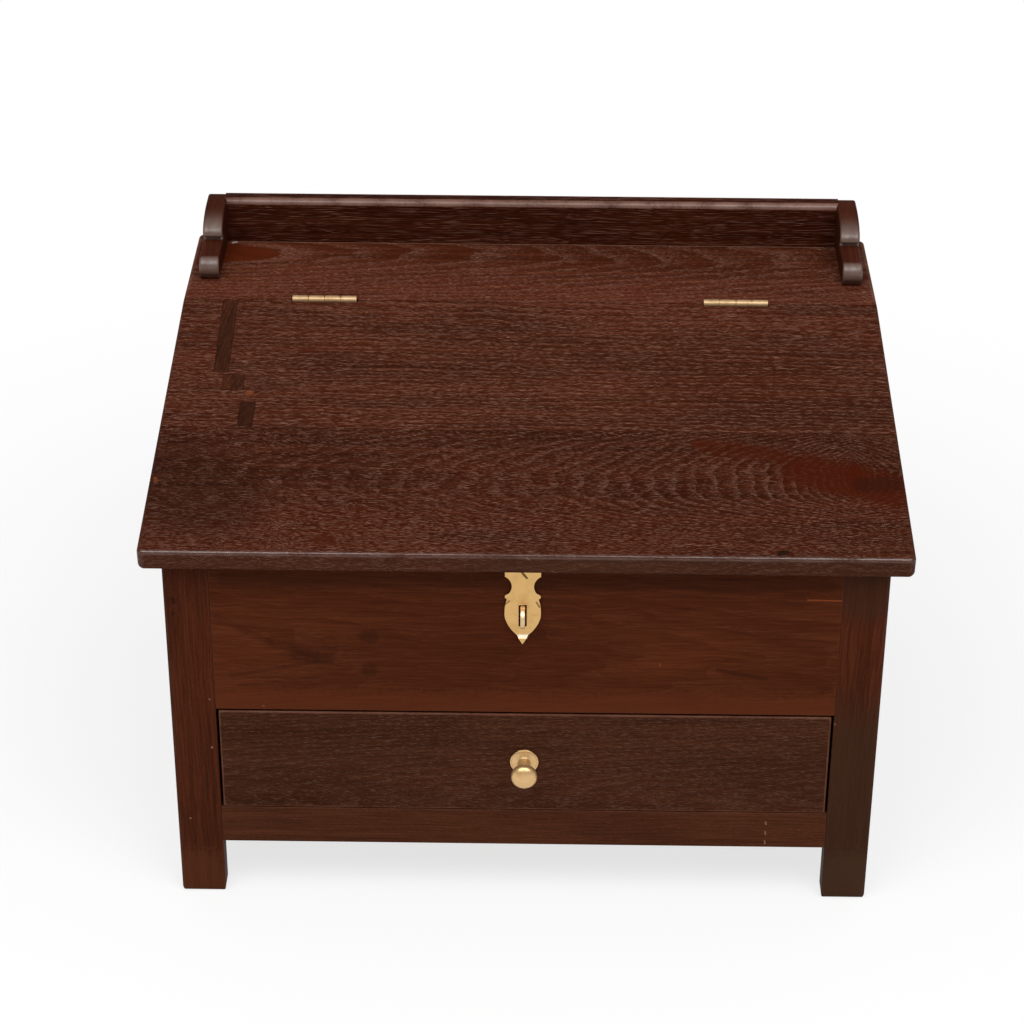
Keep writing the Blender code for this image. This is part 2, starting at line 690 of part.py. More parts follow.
def make_leaf(name, centre, sign, own):
    """A hinge leaf on every second knuckle from own on; sign +1 faces it to the ledge, -1 to the lid.

    The leaf's upper edge runs up into its own knuckles' walls and stays clear of the other leaf's.
    """
    tops = []
    knuckles = hinge_knuckles(centre)
    for number, (left, right) in enumerate(knuckles):
        mine = number % 2 == own
        level = -(BARREL_BORE + LEAF_ROOT) if mine else -(BARREL_RADIUS + FIT_GAP)
        spare = FIT_GAP if mine else -2 * FIT_GAP
        tops += [(left + spare, level), (right - spare, level)]
    tops[0] = (knuckles[0][0] + FIT_GAP, tops[0][1])
    tops[-1] = (knuckles[-1][1] - FIT_GAP, tops[-1][1])
    outline = [(tops[0][0], -LEAF_WIDTH), (tops[-1][0], -LEAF_WIDTH)] + tops[::-1]
    ys = sorted((sign * LEAF_PARTING / 2, sign * (LEAF_PARTING / 2 + LEAF_THICKNESS)))
    shape = prism(outline, "Y", *ys)
    shape.transform(Matrix.Translation(LID_AXIS))
    leaf = new_object(name, shape, "brass", smooth=True)
    for left, right in knuckles[own::2]:
        fuse(leaf, ring(left, right, LID_AXIS, BARREL_RADIUS, BARREL_BORE))
    return leaf


def let_in_hinge(board, centre, sign):
    """Cuts the leaf's recess and the barrel's bed in the edge of the ledge (sign +1) or of the lid (-1)."""
    half = HINGE_LENGTH / 2 + FIT_GAP
    depth = LEAF_PARTING / 2 + LEAF_THICKNESS + FIT_GAP
    ys = sorted((-sign * OVERCUT, sign * depth))
    low = Vector((centre - half, ys[0], -LEAF_WIDTH - FIT_GAP)) + LID_AXIS
    high = Vector((centre + half, ys[1], LEAF_WIDTH)) + LID_AXIS
    cut(board, box(low, high))
    bed = half + FIT_GAP
    start = Vector((centre - bed, 0, 0)) + LID_AXIS
    cut(board, cylinder(start, (1, 0, 0), 2 * bed, BARREL_RADIUS + FIT_GAP, BARREL_SIDES))


def make_hinges(ledge, lid_back):
    """Two butt hinges, each of two leaves, a pin and four screws; returns what moves with the lid."""
    moving = []
    for side, sign in (("left", -1), ("right", 1)):
        centre = sign * (TOP_WIDTH / 2 - HINGE_INSET - HINGE_LENGTH / 2)
        for holder, board, facing, own in (("ledge", ledge, 1, 0), ("lid", lid_back, -1, 1)):
            leaf = make_leaf(f"hinge_leaf_{holder}_{side}", centre, facing, own)
            let_in_hinge(board, centre, facing)
            pieces = [leaf]
            for place, step in (("outer", sign), ("inner", -sign)):
                x = centre + step * LEAF_SCREW_PITCH / 2
                spot = LID_AXIS + Vector((x, facing * LEAF_PARTING / 2, -LEAF_SCREW_DROP))
                name = f"screw_{holder}_{side}_{place}"
                pieces.append(add_screw(name, spot, (0, facing, 0), (leaf, board)))
            if board == lid_back:
                moving += pieces
        start = LID_AXIS + Vector((centre - HINGE_LENGTH / 2 + FIT_GAP / 2, 0, 0))
        length = HINGE_LENGTH - FIT_GAP
        pin = cylinder(start, (1, 0, 0), length, HINGE_PIN_RADIUS, BARREL_SIDES)
        new_object(f"hinge_pin_{side}", pin, "brass", smooth=True)
    return moving


# Hasp and staple


def curve(*points, steps=ARC_STEPS):
    """Points of one Bezier stretch from its two ends and two handles, given as (x, drop)."""
    spots = interpolate_bezier(*(Vector((a, b, 0)) for a, b in points), steps + 1)
    return [(spot.x, spot.y) for spot in spots]


def hasp_outline():
    """Half of the hasp's face as (half width, drop below its pin), from the flange to the tip."""
    flange = HASP_WIDTH / 2
    waist = WAIST_WIDTH / 2 + WAIST_RADIUS
    swing = math.degrees(math.acos((waist - flange) / WAIST_RADIUS))
    ear = (flange - EAR_RADIUS, EAR_DROP)
    shoulder = (SHOULDER_WIDTH / 2, SHOULDER_DROP)
    shield = (SHIELD_WIDTH / 2, SHIELD_DROP)
    bend = (BEND_WIDTH / 2, BEND_DROP)
    belly = (SHIELD_DROP + BEND_DROP) / 2
    points = [(flange, HASP_KNUCKLE + FIT_GAP)]
    hollow = (WAIST_RADIUS, WAIST_RADIUS)
    points += arc((waist, WAIST_DROP), hollow, 180 + swing, 180 - swing * WAIST_RETURN)
    points += arc(ear, (EAR_RADIUS, EAR_RADIUS), *EAR_SWEEP, EDGE_STEPS)
    rise = (SHIELD_DROP - SHOULDER_DROP) / 3
    flare = (shield[0], SHOULDER_DROP + rise)
    points += curve(shoulder, flare, (shield[0], SHIELD_DROP - rise), shield)
    points += curve(shield, (shield[0], belly - rise), (shield[0] * SHIELD_BELLY, belly + rise), bend)[1:]
    points.append((0.0, TIP_DROP))
    return points


def make_hasp():
    """The sheet-brass hasp with its kicked-out tip, its leaf let in under the lid, and the pin between."""
    half = HASP_WIDTH / 2
    third = HASP_WIDTH / 3
    right = hasp_outline()
    tab = third / 2 - FIT_GAP
    neck = [(-tab, 0.0), (tab, 0.0), (tab, HASP_KNUCKLE + FIT_GAP)]
    left = [(-x, drop) for x, drop in reversed(right[:-1])]
    outline = [(x, -drop) for x, drop in neck + right + left + [(-tab, HASP_KNUCKLE + FIT_GAP)]]
    shape = prism(outline, "Y", HASP_BORE, HASP_KNUCKLE)
    for drop in (BEND_DROP, BEND_DROP + BEND_BAND):
        everything = shape.verts[:] + shape.edges[:] + shape.faces[:]
        fold = Vector((0, 0, -drop))
        bmesh.ops.bisect_plane(shape, geom=everything, dist=CUT_TOLERANCE, plane_co=fold, plane_no=UP)
    for corner in shape.verts:
        past = min(max(-corner.co.z - BEND_DROP, 0.0), BEND_BAND)
        corner.co.y -= past * math.tan(BEND_ANGLE)
    shape.transform(Matrix.Translation(HASP_AXIS))
    plate = new_object("hasp_plate", shape, "brass", smooth=True)
    fuse(plate, ring(-third / 2 + FIT_GAP / 2, third / 2 - FIT_GAP / 2, HASP_AXIS, HASP_KNUCKLE, HASP_BORE))
    slot = Vector((STAPLE_WIDTH / 2 + SLOT_SIDE_GAP, HASP_KNUCKLE + OVERCUT, STAPLE_RADIUS + SLOT_END_GAP))
    middle = HASP_AXIS - Vector((0, 0, SLOT_DROP))
    cut(plate, box(middle - slot, middle + slot))

    inner = third / 2 + FIT_GAP / 2
    clear = HASP_KNUCKLE + FIT_GAP
    leaf_plan = [(half, 0.0), (half, HASP_LEAF_LENGTH), (-half, HASP_LEAF_LENGTH), (-half, 0.0)]
    leaf_plan += [(-inner - FIT_GAP, 0.0), (-inner - FIT_GAP, clear), (inner + FIT_GAP, clear)]
    leaf_plan.append((inner + FIT_GAP, 0.0))
    shape = prism(leaf_plan, "Z", HASP_BORE, HASP_KNUCKLE)
    shape.transform(HASP_LEAF_PLACE)
    leaf = new_object("hasp_leaf", shape, "brass", smooth=True)
    for start, stop in ((-half - FIT_GAP, -inner), (inner, half + FIT_GAP)):
        fuse(leaf, ring(start, stop, HASP_AXIS, HASP_KNUCKLE, HASP_BORE))
    start = HASP_AXIS - Vector((half, 0, 0))
    shape = cylinder(start, (1, 0, 0), HASP_WIDTH, HASP_PIN_RADIUS, SCREW_SIDES)
    pin = new_object("hasp_pin", shape, "brass", smooth=True)
    return plate, leaf, pin


def let_in_hasp(lid_front, leaf):
    """The recess under the lid for the hasp's leaf and knuckles, and the two screws that hold the leaf."""
    half = HASP_WIDTH / 2 + 2 * FIT_GAP
    front = -HASP_KNUCKLE - FIT_GAP
    low = (-half, front, -HASP_KNUCKLE)
    recess = box(low, (half, HASP_LEAF_LENGTH + FIT_GAP, HASP_KNUCKLE + FIT_GAP))
    recess.transform(HASP_LEAF_PLACE)
    cut(lid_front, recess)
    screws = []
    for side, sign in (("left", -1), ("right", 1)):
        spot = HASP_LEAF_PLACE @ Vector((sign * HASP_SCREW_PITCH / 2, HASP_SCREW_REACH, HASP_BORE))
        direction = HASP_LEAF_PLACE.to_3x3() @ UP
        screws.append(add_screw(f"screw_hasp_{side}", spot, direction, (leaf, lid_front)))
    return screws


def make_staple(front_panel):
    """The brass strap loop that stands through the hasp's slot, its two shanks set in the front panel."""
    middle = HASP_AXIS.z - SLOT_DROP
    inner = STAPLE_RADIUS - STAPLE_STRAP
    bend_y = FRONT_Y - (STAPLE_REACH - STAPLE_RADIUS)
    end_y = FRONT_Y + STAPLE_SHANK
    outline = [(end_y, middle - STAPLE_RADIUS)]
    outline += arc((bend_y, middle), (STAPLE_RADIUS, STAPLE_RADIUS), 270, 90, 2 * ARC_STEPS)
    outline += [(end_y, middle + STAPLE_RADIUS), (end_y, middle + inner)]
    outline += arc((bend_y, middle), (inner, inner), 90, 270, 2 * ARC_STEPS)
    outline.append((end_y, middle - inner))
    left, right = HASP_OFFSET - STAPLE_WIDTH / 2, HASP_OFFSET + STAPLE_WIDTH / 2
    shape = prism(outline, "X", left, right)
    for level in (middle - STAPLE_RADIUS, middle + inner):
        low = (left - FIT_GAP, FRONT_Y - OVERCUT, level - FIT_GAP)
        cut(front_panel, box(low, (right + FIT_GAP, end_y + FIT_GAP, level + STAPLE_STRAP + FIT_GAP)))
    new_object("staple", shape, "brass", smooth=True)


# Drawer


def make_drawer():
    """A lapped front, two sides grooved for the bottom, and a back standing on the bottom."""
    half = LEG_INNER_X - DRAWER_SIDE_GAP
    inner = half - DRAWER_SIDE_THICKNESS
    low = RAIL_TOP + DRAWER_RUN_GAP
    high = OPENING_TOP - DRAWER_TOP_GAP
    lap_y = FRONT_Y + DRAWER_LAP
    face_y = FRONT_Y + DRAWER_FRONT_THICKNESS
    end_y = PANEL_BACK_Y - DRAWER_RUN_GAP
    body = inner - FIT_GAP
    plan = [(-half, FRONT_Y), (half, FRONT_Y), (half, lap_y), (body, lap_y), (body, face_y)]
    plan += [(-body, face_y), (-body, lap_y), (-half, lap_y)]
    shape = prism(plan, "Z", low, high)
    ease(shape, DRAWER_EASE, lambda middle, along: abs(middle.y - FRONT_Y) < DRAWER_EASE / 2, 2)
    front = new_object("drawer_front", shape, "drawer_wood")
    groove_low = low + DRAWER_BOTTOM_RISE
    groove_high = groove_low + DRAWER_BOTTOM_THICKNESS + 2 * FIT_GAP
    bottom_x = inner + DRAWER_GROOVE - FIT_GAP
    past = body + OVERCUT
    cut(front, box((-past, face_y - DRAWER_GROOVE, groove_low), (past, face_y + OVERCUT, groove_high)))
    pieces = [front]
    for side, sign in (("left", -1), ("right", 1)):
        xs = sorted((sign * inner, sign * half))
        shape = box((xs[0], lap_y + FIT_GAP, low), (xs[1], end_y, low + DRAWER_SIDE_HEIGHT))
        board = new_object(f"drawer_side_{side}", shape, "inner_wood")
        xs = sorted((sign * (inner - OVERCUT), sign * (inner + DRAWER_GROOVE)))
        cut(board, box((xs[0], FRONT_Y, groove_low), (xs[1], end_y + OVERCUT, groove_high)))
        pieces.append(board)
    bottom_low = groove_low + FIT_GAP
    bottom_high = bottom_low + DRAWER_BOTTOM_THICKNESS
    shape = box((-bottom_x, face_y - DRAWER_GROOVE + FIT_GAP, bottom_low), (bottom_x, end_y, bottom_high))
    pieces.append(new_object("drawer_bottom", shape, "inner_wood"))
    back_top = low + DRAWER_SIDE_HEIGHT - DRAWER_BACK_DROP
    shape = box((-body, end_y - DRAWER_BACK_THICKNESS, bottom_high + FIT_GAP), (body, end_y, back_top))
    pieces.append(new_object("drawer_back", shape, "inner_wood"))
    return pieces, Vector((0, FRONT_Y, (low + high) / 2 + KNOB_RISE))


def knob_profile():
    """(distance from the drawer, radius) of a blind bore, a rose with a rolled rim, a neck and a head."""
    bore = KNOB_SCREW_RADIUS + FIT_GAP
    rim = ROSE_THICKNESS / 2
    profile = [(KNOB_BORE, 0), (KNOB_BORE, bore), (0, bore), (0, ROSE_RADIUS - rim / 2)]
    profile += arc((rim, ROSE_RADIUS - rim), (rim, rim), -60, 90, EDGE_STEPS + 1)
    neck = (NECK_REACH, NECK_RADIUS)
    shoulder = (ROSE_THICKNESS, NECK_RADIUS + (ROSE_RADIUS - NECK_RADIUS) * NECK_FLARE)
    hollow = (NECK_REACH * NECK_FLARE, NECK_RADIUS)
    profile += curve((ROSE_THICKNESS, ROSE_RADIUS - 2 * rim), shoulder, hollow, neck)
    meeting = 180 - math.degrees(math.asin(NECK_RADIUS / HEAD_RADIUS))
    profile += arc((HEAD_REACH, 0), (HEAD_BACK, HEAD_RADIUS), meeting, 90)
    face = KNOB_REACH - HEAD_REACH
    profile += arc((HEAD_REACH, 0), (face, HEAD_RADIUS), 90, 0)[1:-1]
    profile.append((KNOB_REACH, 0))
    return profile


def make_knob(drawer_front, seat):
    """The turned brass knob, and the screw that holds it from inside the drawer."""
    start = seat - Vector((0, FIT_GAP, 0))
    knob = new_object("knob", lathe(knob_profile(), start, (0, -1, 0), KNOB_SIDES), "brass", smooth=True)
    back = seat + Vector((0, DRAWER_FRONT_THICKNESS + FIT_GAP, 0))
    length = DRAWER_FRONT_THICKNESS + KNOB_BORE - KNOB_SCREW_RADIUS
    head = arc((0, 0), (KNOB_SCREW_HEAD, KNOB_SCREW_HEAD_RADIUS), 180, 90, EDGE_STEPS)
    profile = [(head[0][0], 0)] + head[1:]
    profile += [(0, KNOB_SCREW_RADIUS), (length, KNOB_SCREW_RADIUS), (length, 0)]
    screw = new_object("knob_screw", lathe(profile, back, (0, -1, 0), BARREL_SIDES), "brass", smooth=True)
    through = DRAWER_FRONT_THICKNESS + 2 * OVERCUT
    bore_start = seat - Vector((0, OVERCUT, 0))
    bore = KNOB_SCREW_RADIUS + FIT_GAP
    cut(drawer_front, cylinder(bore_start, (0, 1, 0), through, bore, BARREL_SIDES))
    return [knob, screw]


def main():
    clear_scene()
    make_legs()
    front_panel = make_panels()
    make_floor()
    make_rail()
    make_runners()
    ledge = make_ledge()
    make_gallery()
    lid_front, lid_back, patches = make_lid()
    lid_fittings = make_hinges(ledge, lid_back)
    hasp_plate, hasp_leaf, hasp_pin = make_hasp()
    hasp_screws = let_in_hasp(lid_front, hasp_leaf)
    make_staple(front_panel)
    drawer, knob_seat = make_drawer()
    drawer += make_knob(drawer[0], knob_seat)

    lid_pivot = pivot("lid_pivot", LID_AXIS)
    hasp_pivot = pivot("hasp_pivot", HASP_AXIS)
    drawer_slide = pivot("drawer_slide", knob_seat)
    hang([lid_front, lid_back, *patches, *lid_fittings], lid_pivot, LID_AXIS)
    hang([hasp_leaf, hasp_pin, *hasp_screws, hasp_pivot], lid_pivot, LID_AXIS)
    hang([hasp_plate], hasp_pivot, HASP_AXIS)
    hang(drawer, drawer_slide, knob_seat)


main()
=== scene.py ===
"""Looks of a slant-top lap desk: shaped boards, worn arrises, stained wood, brass, and the studio."""

import json
import math

import bmesh
import bpy
import numpy as np
from mathutils import Matrix, Vector
from mathutils.geometry import tessellate_polygon


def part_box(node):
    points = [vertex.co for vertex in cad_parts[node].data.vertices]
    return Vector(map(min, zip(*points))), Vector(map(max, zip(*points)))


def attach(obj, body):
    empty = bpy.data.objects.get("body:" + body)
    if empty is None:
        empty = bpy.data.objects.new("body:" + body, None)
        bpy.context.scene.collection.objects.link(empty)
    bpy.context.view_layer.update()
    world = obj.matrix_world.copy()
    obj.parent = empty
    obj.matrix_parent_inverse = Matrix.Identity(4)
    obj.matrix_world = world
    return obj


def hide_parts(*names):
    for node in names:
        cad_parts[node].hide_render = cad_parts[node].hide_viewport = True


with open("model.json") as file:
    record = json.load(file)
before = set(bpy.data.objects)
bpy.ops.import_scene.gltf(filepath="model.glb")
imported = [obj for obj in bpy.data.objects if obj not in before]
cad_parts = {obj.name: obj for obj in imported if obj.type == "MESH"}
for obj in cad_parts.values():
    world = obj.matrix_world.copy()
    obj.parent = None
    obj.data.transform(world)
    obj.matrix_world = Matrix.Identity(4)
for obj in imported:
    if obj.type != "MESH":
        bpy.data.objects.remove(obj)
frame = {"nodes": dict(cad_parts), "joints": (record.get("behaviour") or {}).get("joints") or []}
NODES = frame["nodes"]
JOINTS = {joint["name"]: joint for joint in frame["joints"]}
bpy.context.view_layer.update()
SIDES = ("left", "right")


def corners_of(solid):
    """The low and the high corner of a solid's box."""
    return [Vector(corner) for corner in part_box(solid)]


# Places that the solids give, in metres
LID_AXIS = Vector(JOINTS["lid_hinge"]["pos_m"])
HASP_AXIS = Vector(JOINTS["hasp_hinge"]["pos_m"])
LEG_LOW, LEG_HIGH = corners_of("leg_front_left")
LEDGE_LOW, LEDGE_HIGH = corners_of("ledge_board")
RAIL_LOW, RAIL_HIGH = corners_of("front_rail")
PANEL_LOW, PANEL_HIGH = corners_of("front_panel")
GALLERY_LOW, GALLERY_HIGH = corners_of("gallery_back")
DRAWER_LOW, DRAWER_HIGH = corners_of("drawer_front")
DRAWER_BODY = corners_of("drawer_side_right")[0].x
FRONT = LEG_LOW.y
BACK = corners_of("leg_back_right")[1].y
LEG_INNER = -LEG_HIGH.x
TOP_HALF = LEDGE_HIGH.x
LEDGE_TOP = LEDGE_HIGH.z
HINGE_MIDDLES = [sum(corner.x for corner in corners_of(f"hinge_pin_{side}")) / 2 for side in SIDES]

# Sizes of the shaped pieces, in metres, and the sweeps of their arcs, in degrees
FIT_GAP = 0.0003
LID_SLOPE = math.radians(6.93)
LID_THICKNESS = 0.016
LID_OVERHANG = 0.015
LID_SEAM = 0.0010
FRONT_BOARD = 0.150
TOP_ROUND = 0.0027
UNDER_ROUND = 0.003
UNDER_FRONT_ROUND = 0.0012
CORNER_ROUND = 0.0045
JOINT_SHARE = 0.02
SIDE_WEAR = 0.35
EDGE_END_WEAR = 0.3
BED_WEAR = 0.2
PATCH_SINK = 0.0033
# Each patch: from the lid's left end, width, from the lid's back, length, turn
PATCHES = (
    (0.0385, 0.0110, 0.0016, 0.0990, math.radians(1.0)),
    (0.0500, 0.0160, 0.1040, 0.0190, 0.0),
    (0.0635, 0.0110, 0.1400, 0.0305, math.radians(-0.6)),
)
HINGE_LENGTH = 0.0508
KNUCKLE_STEP = HINGE_LENGTH / 4
BARREL_RADIUS = 0.0031
LEAF_BED = 0.00195
LEAF_DROP = 0.0143
LEG_EASE = 0.0015
INNER_EASE = 0.0004
FOOT_ROUND = 0.0025
FOOT_RISE = 0.0048
FOOT_INSETS = (0.003, 0.0006)
FOOT_WEAR = 0.3
INNER_WEAR = 0.5
BOARD_EASE = 0.0005
RAIL_EASE = 0.0007
DRAWER_EASE = 0.0010
DRAWER_LAP = 0.008
DRAWER_LAP_WEAR = 0.3
GALLERY_FRONT_ROUND = 0.004
GALLERY_BACK_ROUND = 0.002
GLUE_WIDTH = 0.0004
BRACKET_EASE = 0.0020
BRACKET_BACK_ROUND = 0.005
BRACKET_FLAT = 0.019
LIP_REACH = 0.0545
LIP_DROP = 0.0138
LIP_RADIUS = 0.0022
LIP_UNDERCUT = 60
NOTCH_REACH = 0.0520
NOTCH_RADIUS = 0.002
NOTCH_SWEEP = 130
NOSE_REACH = 0.089
NOSE_RADIUS = 0.0092
NOSE_FOOT = 0.0035
NOSE_UNDERCUT = 40
HASP_SHEET = 0.0010
HASP_BORE = 0.0009
HASP_KNUCKLE = HASP_BORE + HASP_SHEET
HASP_RIM = 0.00028
HASP_RIM_ANGLE = math.radians(50)
HASP_WIDTH = 0.0258
HASP_LEAF_LENGTH = 0.030
WAIST_WIDTH = 0.0159
WAIST_DROP = 0.0180
WAIST_RADIUS = 0.0095
WAIST_RETURN = 0.6
EAR_DROP = 0.0266
EAR_RADIUS = 0.0019
EAR_SWEEP = (-50, 75)
SHOULDER_WIDTH = 0.0232
SHOULDER_DROP = 0.0298
SHIELD_WIDTH = 0.0261
SHIELD_DROP = 0.0420
SHIELD_BELLY = 0.72
BEND_WIDTH = 0.0080
BEND_DROP = 0.0590
BEND_BAND = 0.0021
BEND_KICK = math.tan(math.radians(40.0))
TIP_DROP = 0.0656
SLOT_DROP = 0.0425
SLOT_HALF_WIDTH = 0.00295
SLOT_HALF_HEIGHT = 0.0092
SLOT_SHARE = 0.35
STAPLE_WIDTH = 0.0034
STAPLE_STRAP = 0.0022
STAPLE_RADIUS = 0.0085
STAPLE_REACH = 0.0130
STAPLE_SHANK = 0.009
STAPLE_EASE = 0.0006
KNOB_REACH = 0.025
KNOB_BORE = 0.012
KNOB_BORE_RADIUS = 0.0023
ROSE_RADIUS = 0.0106
ROSE_THICKNESS = 0.0022
NECK_RADIUS = 0.0032
NECK_REACH = 0.0085
NECK_FLARE = 0.0052
HEAD_RADIUS = 0.0097
HEAD_REACH = 0.0195
HEAD_BACK = 0.0095
# Handles of the neck's curve, as shares of its reach and of its radius at that end
NECK_LEAVE = (0.40, 0.75)
NECK_ARRIVE = (1.05, 1.25)
ROSE_UNDERCUT = 60
HEAD_CLOSING = 1.5
KNOB_SIDES = 96
KNUCKLE_SIDES = 32
HASP_COLUMNS = 9
TIP_POINTS = 6
STRAP_STEPS = 4

# How finely rounds are stepped, and how wear fades away from an arris: distance and what is left of it
ROUND_STEPS = 7
FINE_STEPS = 3 * ROUND_STEPS
FADE = ((0.0012, 0.50), (0.0040, 0.18), (0.0140, 0.0))
SHORT_FADE = ((0.0010, 0.45), (0.0030, 0.0))
BRACKET_FADE = ((0.0006, 0.6),)
NO_FADE = ()
UNDER_WEAR = 0.2
SMOOTH_ANGLE = math.radians(38)
# The most of an edge that a corner's fade takes, and what is left of a round and of a set-off point drawn in
FADE_SHARE = 0.45
LEAST_ROUND = 0.02
LEAST_OFF = 0.05

# Camera of the photograph: a square frame, its focal length in pixels, its place and its turns
FRAME_PIXELS = 1024
FOCAL_PIXELS = 2876.42
SENSOR = 36.0
CAMERA_PLACE = Vector((0.008908, -1.938063, 1.37557))
CAMERA_PITCH = math.radians(30.787)
CAMERA_YAW = math.radians(0.626)
CAMERA_ROLL = math.radians(0.305)

# Studio: two soft boxes on either side of the middle, and a square of floor
SOFTBOX_PLACE = (0.72, -1.2, 2.05)
SOFTBOX_AIM = Vector((0, 0, 0.25))
SOFTBOX_SIZE = (1.2, 1.3)
SOFTBOX_ENERGY = 23.0
FLOOR_HALF = 8.0
FLOOR_TONE = (0.86, 0.86, 0.86, 1)
FLOOR_ROUGHNESS = 0.9
WHITE = (1, 1, 1, 1)
# The floor's white: its share in the middle, and from where to where it grows to all
FLOOR_WHITE = 0.74
FLOOR_CLEAR = (0.35, 1.0)
# The world by height: where a glow begins and ends, its strength at both, and where reflections see white
LOW_GLOW = (0.0, 0.25, 0.9, 0.25)
HIGH_GLOW = (0.62, 0.90, 0.0, 0.7)
HORIZON = (0.02, 0.2)


def lid_top(y):
    """Height of the lid's upper face at a distance y from front to back."""
    return LEDGE_TOP - (LID_AXIS.y - y) * math.tan(LID_SLOPE)


LID_FRONT = FRONT - LID_OVERHANG
LID_LENGTH = (LID_AXIS.y - LID_SEAM / 2 - LID_FRONT) / math.cos(LID_SLOPE)
LID_PLACE = Matrix.Translation((0, LID_FRONT, lid_top(LID_FRONT))) @ Matrix.Rotation(LID_SLOPE, 4, "X")

# Turns of a piece that is worked out lying flat: none, standing with its face to the front, or along X
LYING = Matrix.Identity(4)
STANDING = Matrix(((1, 0, 0, 0), (0, 0, -1, 0), (0, 1, 0, 0), (0, 0, 0, 1)))
ENDWISE = Matrix(((0, 0, 1, 0), (1, 0, 0, 0), (0, 1, 0, 0), (0, 0, 0, 1)))


# Shapes


def arc(centre, radii, start, stop, steps=ROUND_STEPS):
    """Points of an ellipse: centre plus radii times the cosine and sine of evenly stepped angles."""
    angle = np.radians(np.linspace(start, stop, steps + 1))
    return np.array(centre) + np.array(radii) * np.column_stack((np.cos(angle), np.sin(angle)))


def circle(centre, radius, start, stop, steps=ROUND_STEPS):
    """Points of an arc with one radius."""
    return arc(centre, (radius, radius), start, stop, steps)


def bezier(first, leave, arrive, last, steps=FINE_STEPS):
    """Points of a cubic Bezier stretch: its ends and handles weighted by the four Bernstein terms."""
    t = np.linspace(0.0, 1.0, steps + 1)[:, None]
    ends = (1 - t) ** 3 * np.array(first) + t**3 * np.array(last)
    return ends + 3 * t * (1 - t) ** 2 * np.array(leave) + 3 * t**2 * (1 - t) * np.array(arrive)


def rounded_plan(corners):
    """Samples round a counter-clockwise outline of (x, y, round, wear, share) corners.

    A rounded corner gives an arc from one edge's normal to the next one's, and points set off along both
    edges where its wear has faded. A corner without a round gives one point. Each sample keeps its corner,
    the mitre that draws it in by each edge's share, its round and normal, and its way along the edge.
    """
    spots = np.array([corner[:2] for corner in corners])
    shares = [corner[4] for corner in corners]
    ways = np.roll(spots, -1, axis=0) - spots
    lengths = np.linalg.norm(ways, axis=1)
    ways /= lengths[:, None]
    normals = np.column_stack((ways[:, 1], -ways[:, 0]))
    rows = []
    for number, (x, y, radius, wear, share) in enumerate(corners):
        before, after = normals[number - 1], normals[number]
        crossing = np.array((before, after))
        mitre = after * share
        if abs(np.linalg.det(crossing)) > 1e-6:
            mitre = np.linalg.solve(crossing, np.array((shares[number - 1], share)))
        spot = (x, y, *mitre)
        if not radius:
            rows.append((*spot, 0, 0, 0, 0, 0, 0, 0, wear))
            continue
        start = math.atan2(before[1], before[0])
        sweep = (math.atan2(after[1], after[0]) - start) % (2 * math.pi)
        turns = start + sweep * np.linspace(0, 1, ROUND_STEPS + 1)
        rounds = [(*spot, radius, math.cos(turn), math.sin(turn), 0, 0, 0, 1.0, wear) for turn in turns]
        sides = []
        for way, length in ((-ways[number - 1], lengths[number - 1]), (ways[number], lengths[number])):
            offs = [(radius + away, left) for away, left in FADE if radius + away < FADE_SHARE * length]
            sides.append([(*spot, 0, 0, 0, *way, away, left, wear) for away, left in offs])
        rows += sides[0][::-1] + rounds + sides[1]
    table = np.array(rows, dtype=float)
    return {
        "corner": table[:, 0:2],
        "mitre": table[:, 2:4],
        "round": table[:, 4:5],
        "normal": table[:, 5:7],
        "along": table[:, 7:9],
        "off": table[:, 9],
        "own_wear": table[:, 10] * table[:, 11],
        "wear": table[:, 11],
    }


def rectangle(left, low, right, high):
    """Corners of a rectangle, counter-clockwise from its lower left one."""
    return np.array(((left, low), (right, low), (right, high), (left, high)))


def square_plan(corners, radius, wear=1):
    """Samples round an outline with the same round and wear at all of its corners."""
    return rounded_plan([(x, y, radius, wear, 1) for x, y in corners])


def drawn_plan(points, wear=1.0):
    """Samples of a finely stepped closed outline, each with the mitre of the two steps that meet there."""
    ways = np.roll(points, -1, axis=0) - points
    ways /= np.linalg.norm(ways, axis=1)[:, None]
    after = np.column_stack((ways[:, 1], -ways[:, 0]))
    before = np.roll(after, 1, axis=0)
    nothing = np.zeros((len(points), 2))
    return {
        "corner": points,
        "mitre": (before + after) / (1 + np.sum(before * after, axis=1))[:, None],
        "round": nothing[:, :1],
        "normal": nothing,
        "along": nothing,
        "off": nothing[:, 0],
        "own_wear": nothing[:, 0],
        "wear": np.full(len(points), wear),
    }


def drawn_in(plan, inset):
    """The plan drawn in by an inset along each axis.

    A corner moves along its mitre, its round shrinks by the inset, and a point on an edge keeps its
    distance along that edge until the corner reaches it.
    """
    inset = np.array(inset)
    moved = np.where(plan["round"] > 0, np.maximum(inset, plan["round"]), inset)
    radius = np.maximum(plan["round"] - inset, LEAST_ROUND * plan["round"])
    pushed = np.sum(plan["mitre"] * inset * plan["along"], axis=1)
    along = np.maximum(plan["off"] + pushed, LEAST_OFF * plan["off"])[:, None]
    return plan["corner"] - plan["mitre"] * moved + plan["normal"] * radius + plan["along"] * along


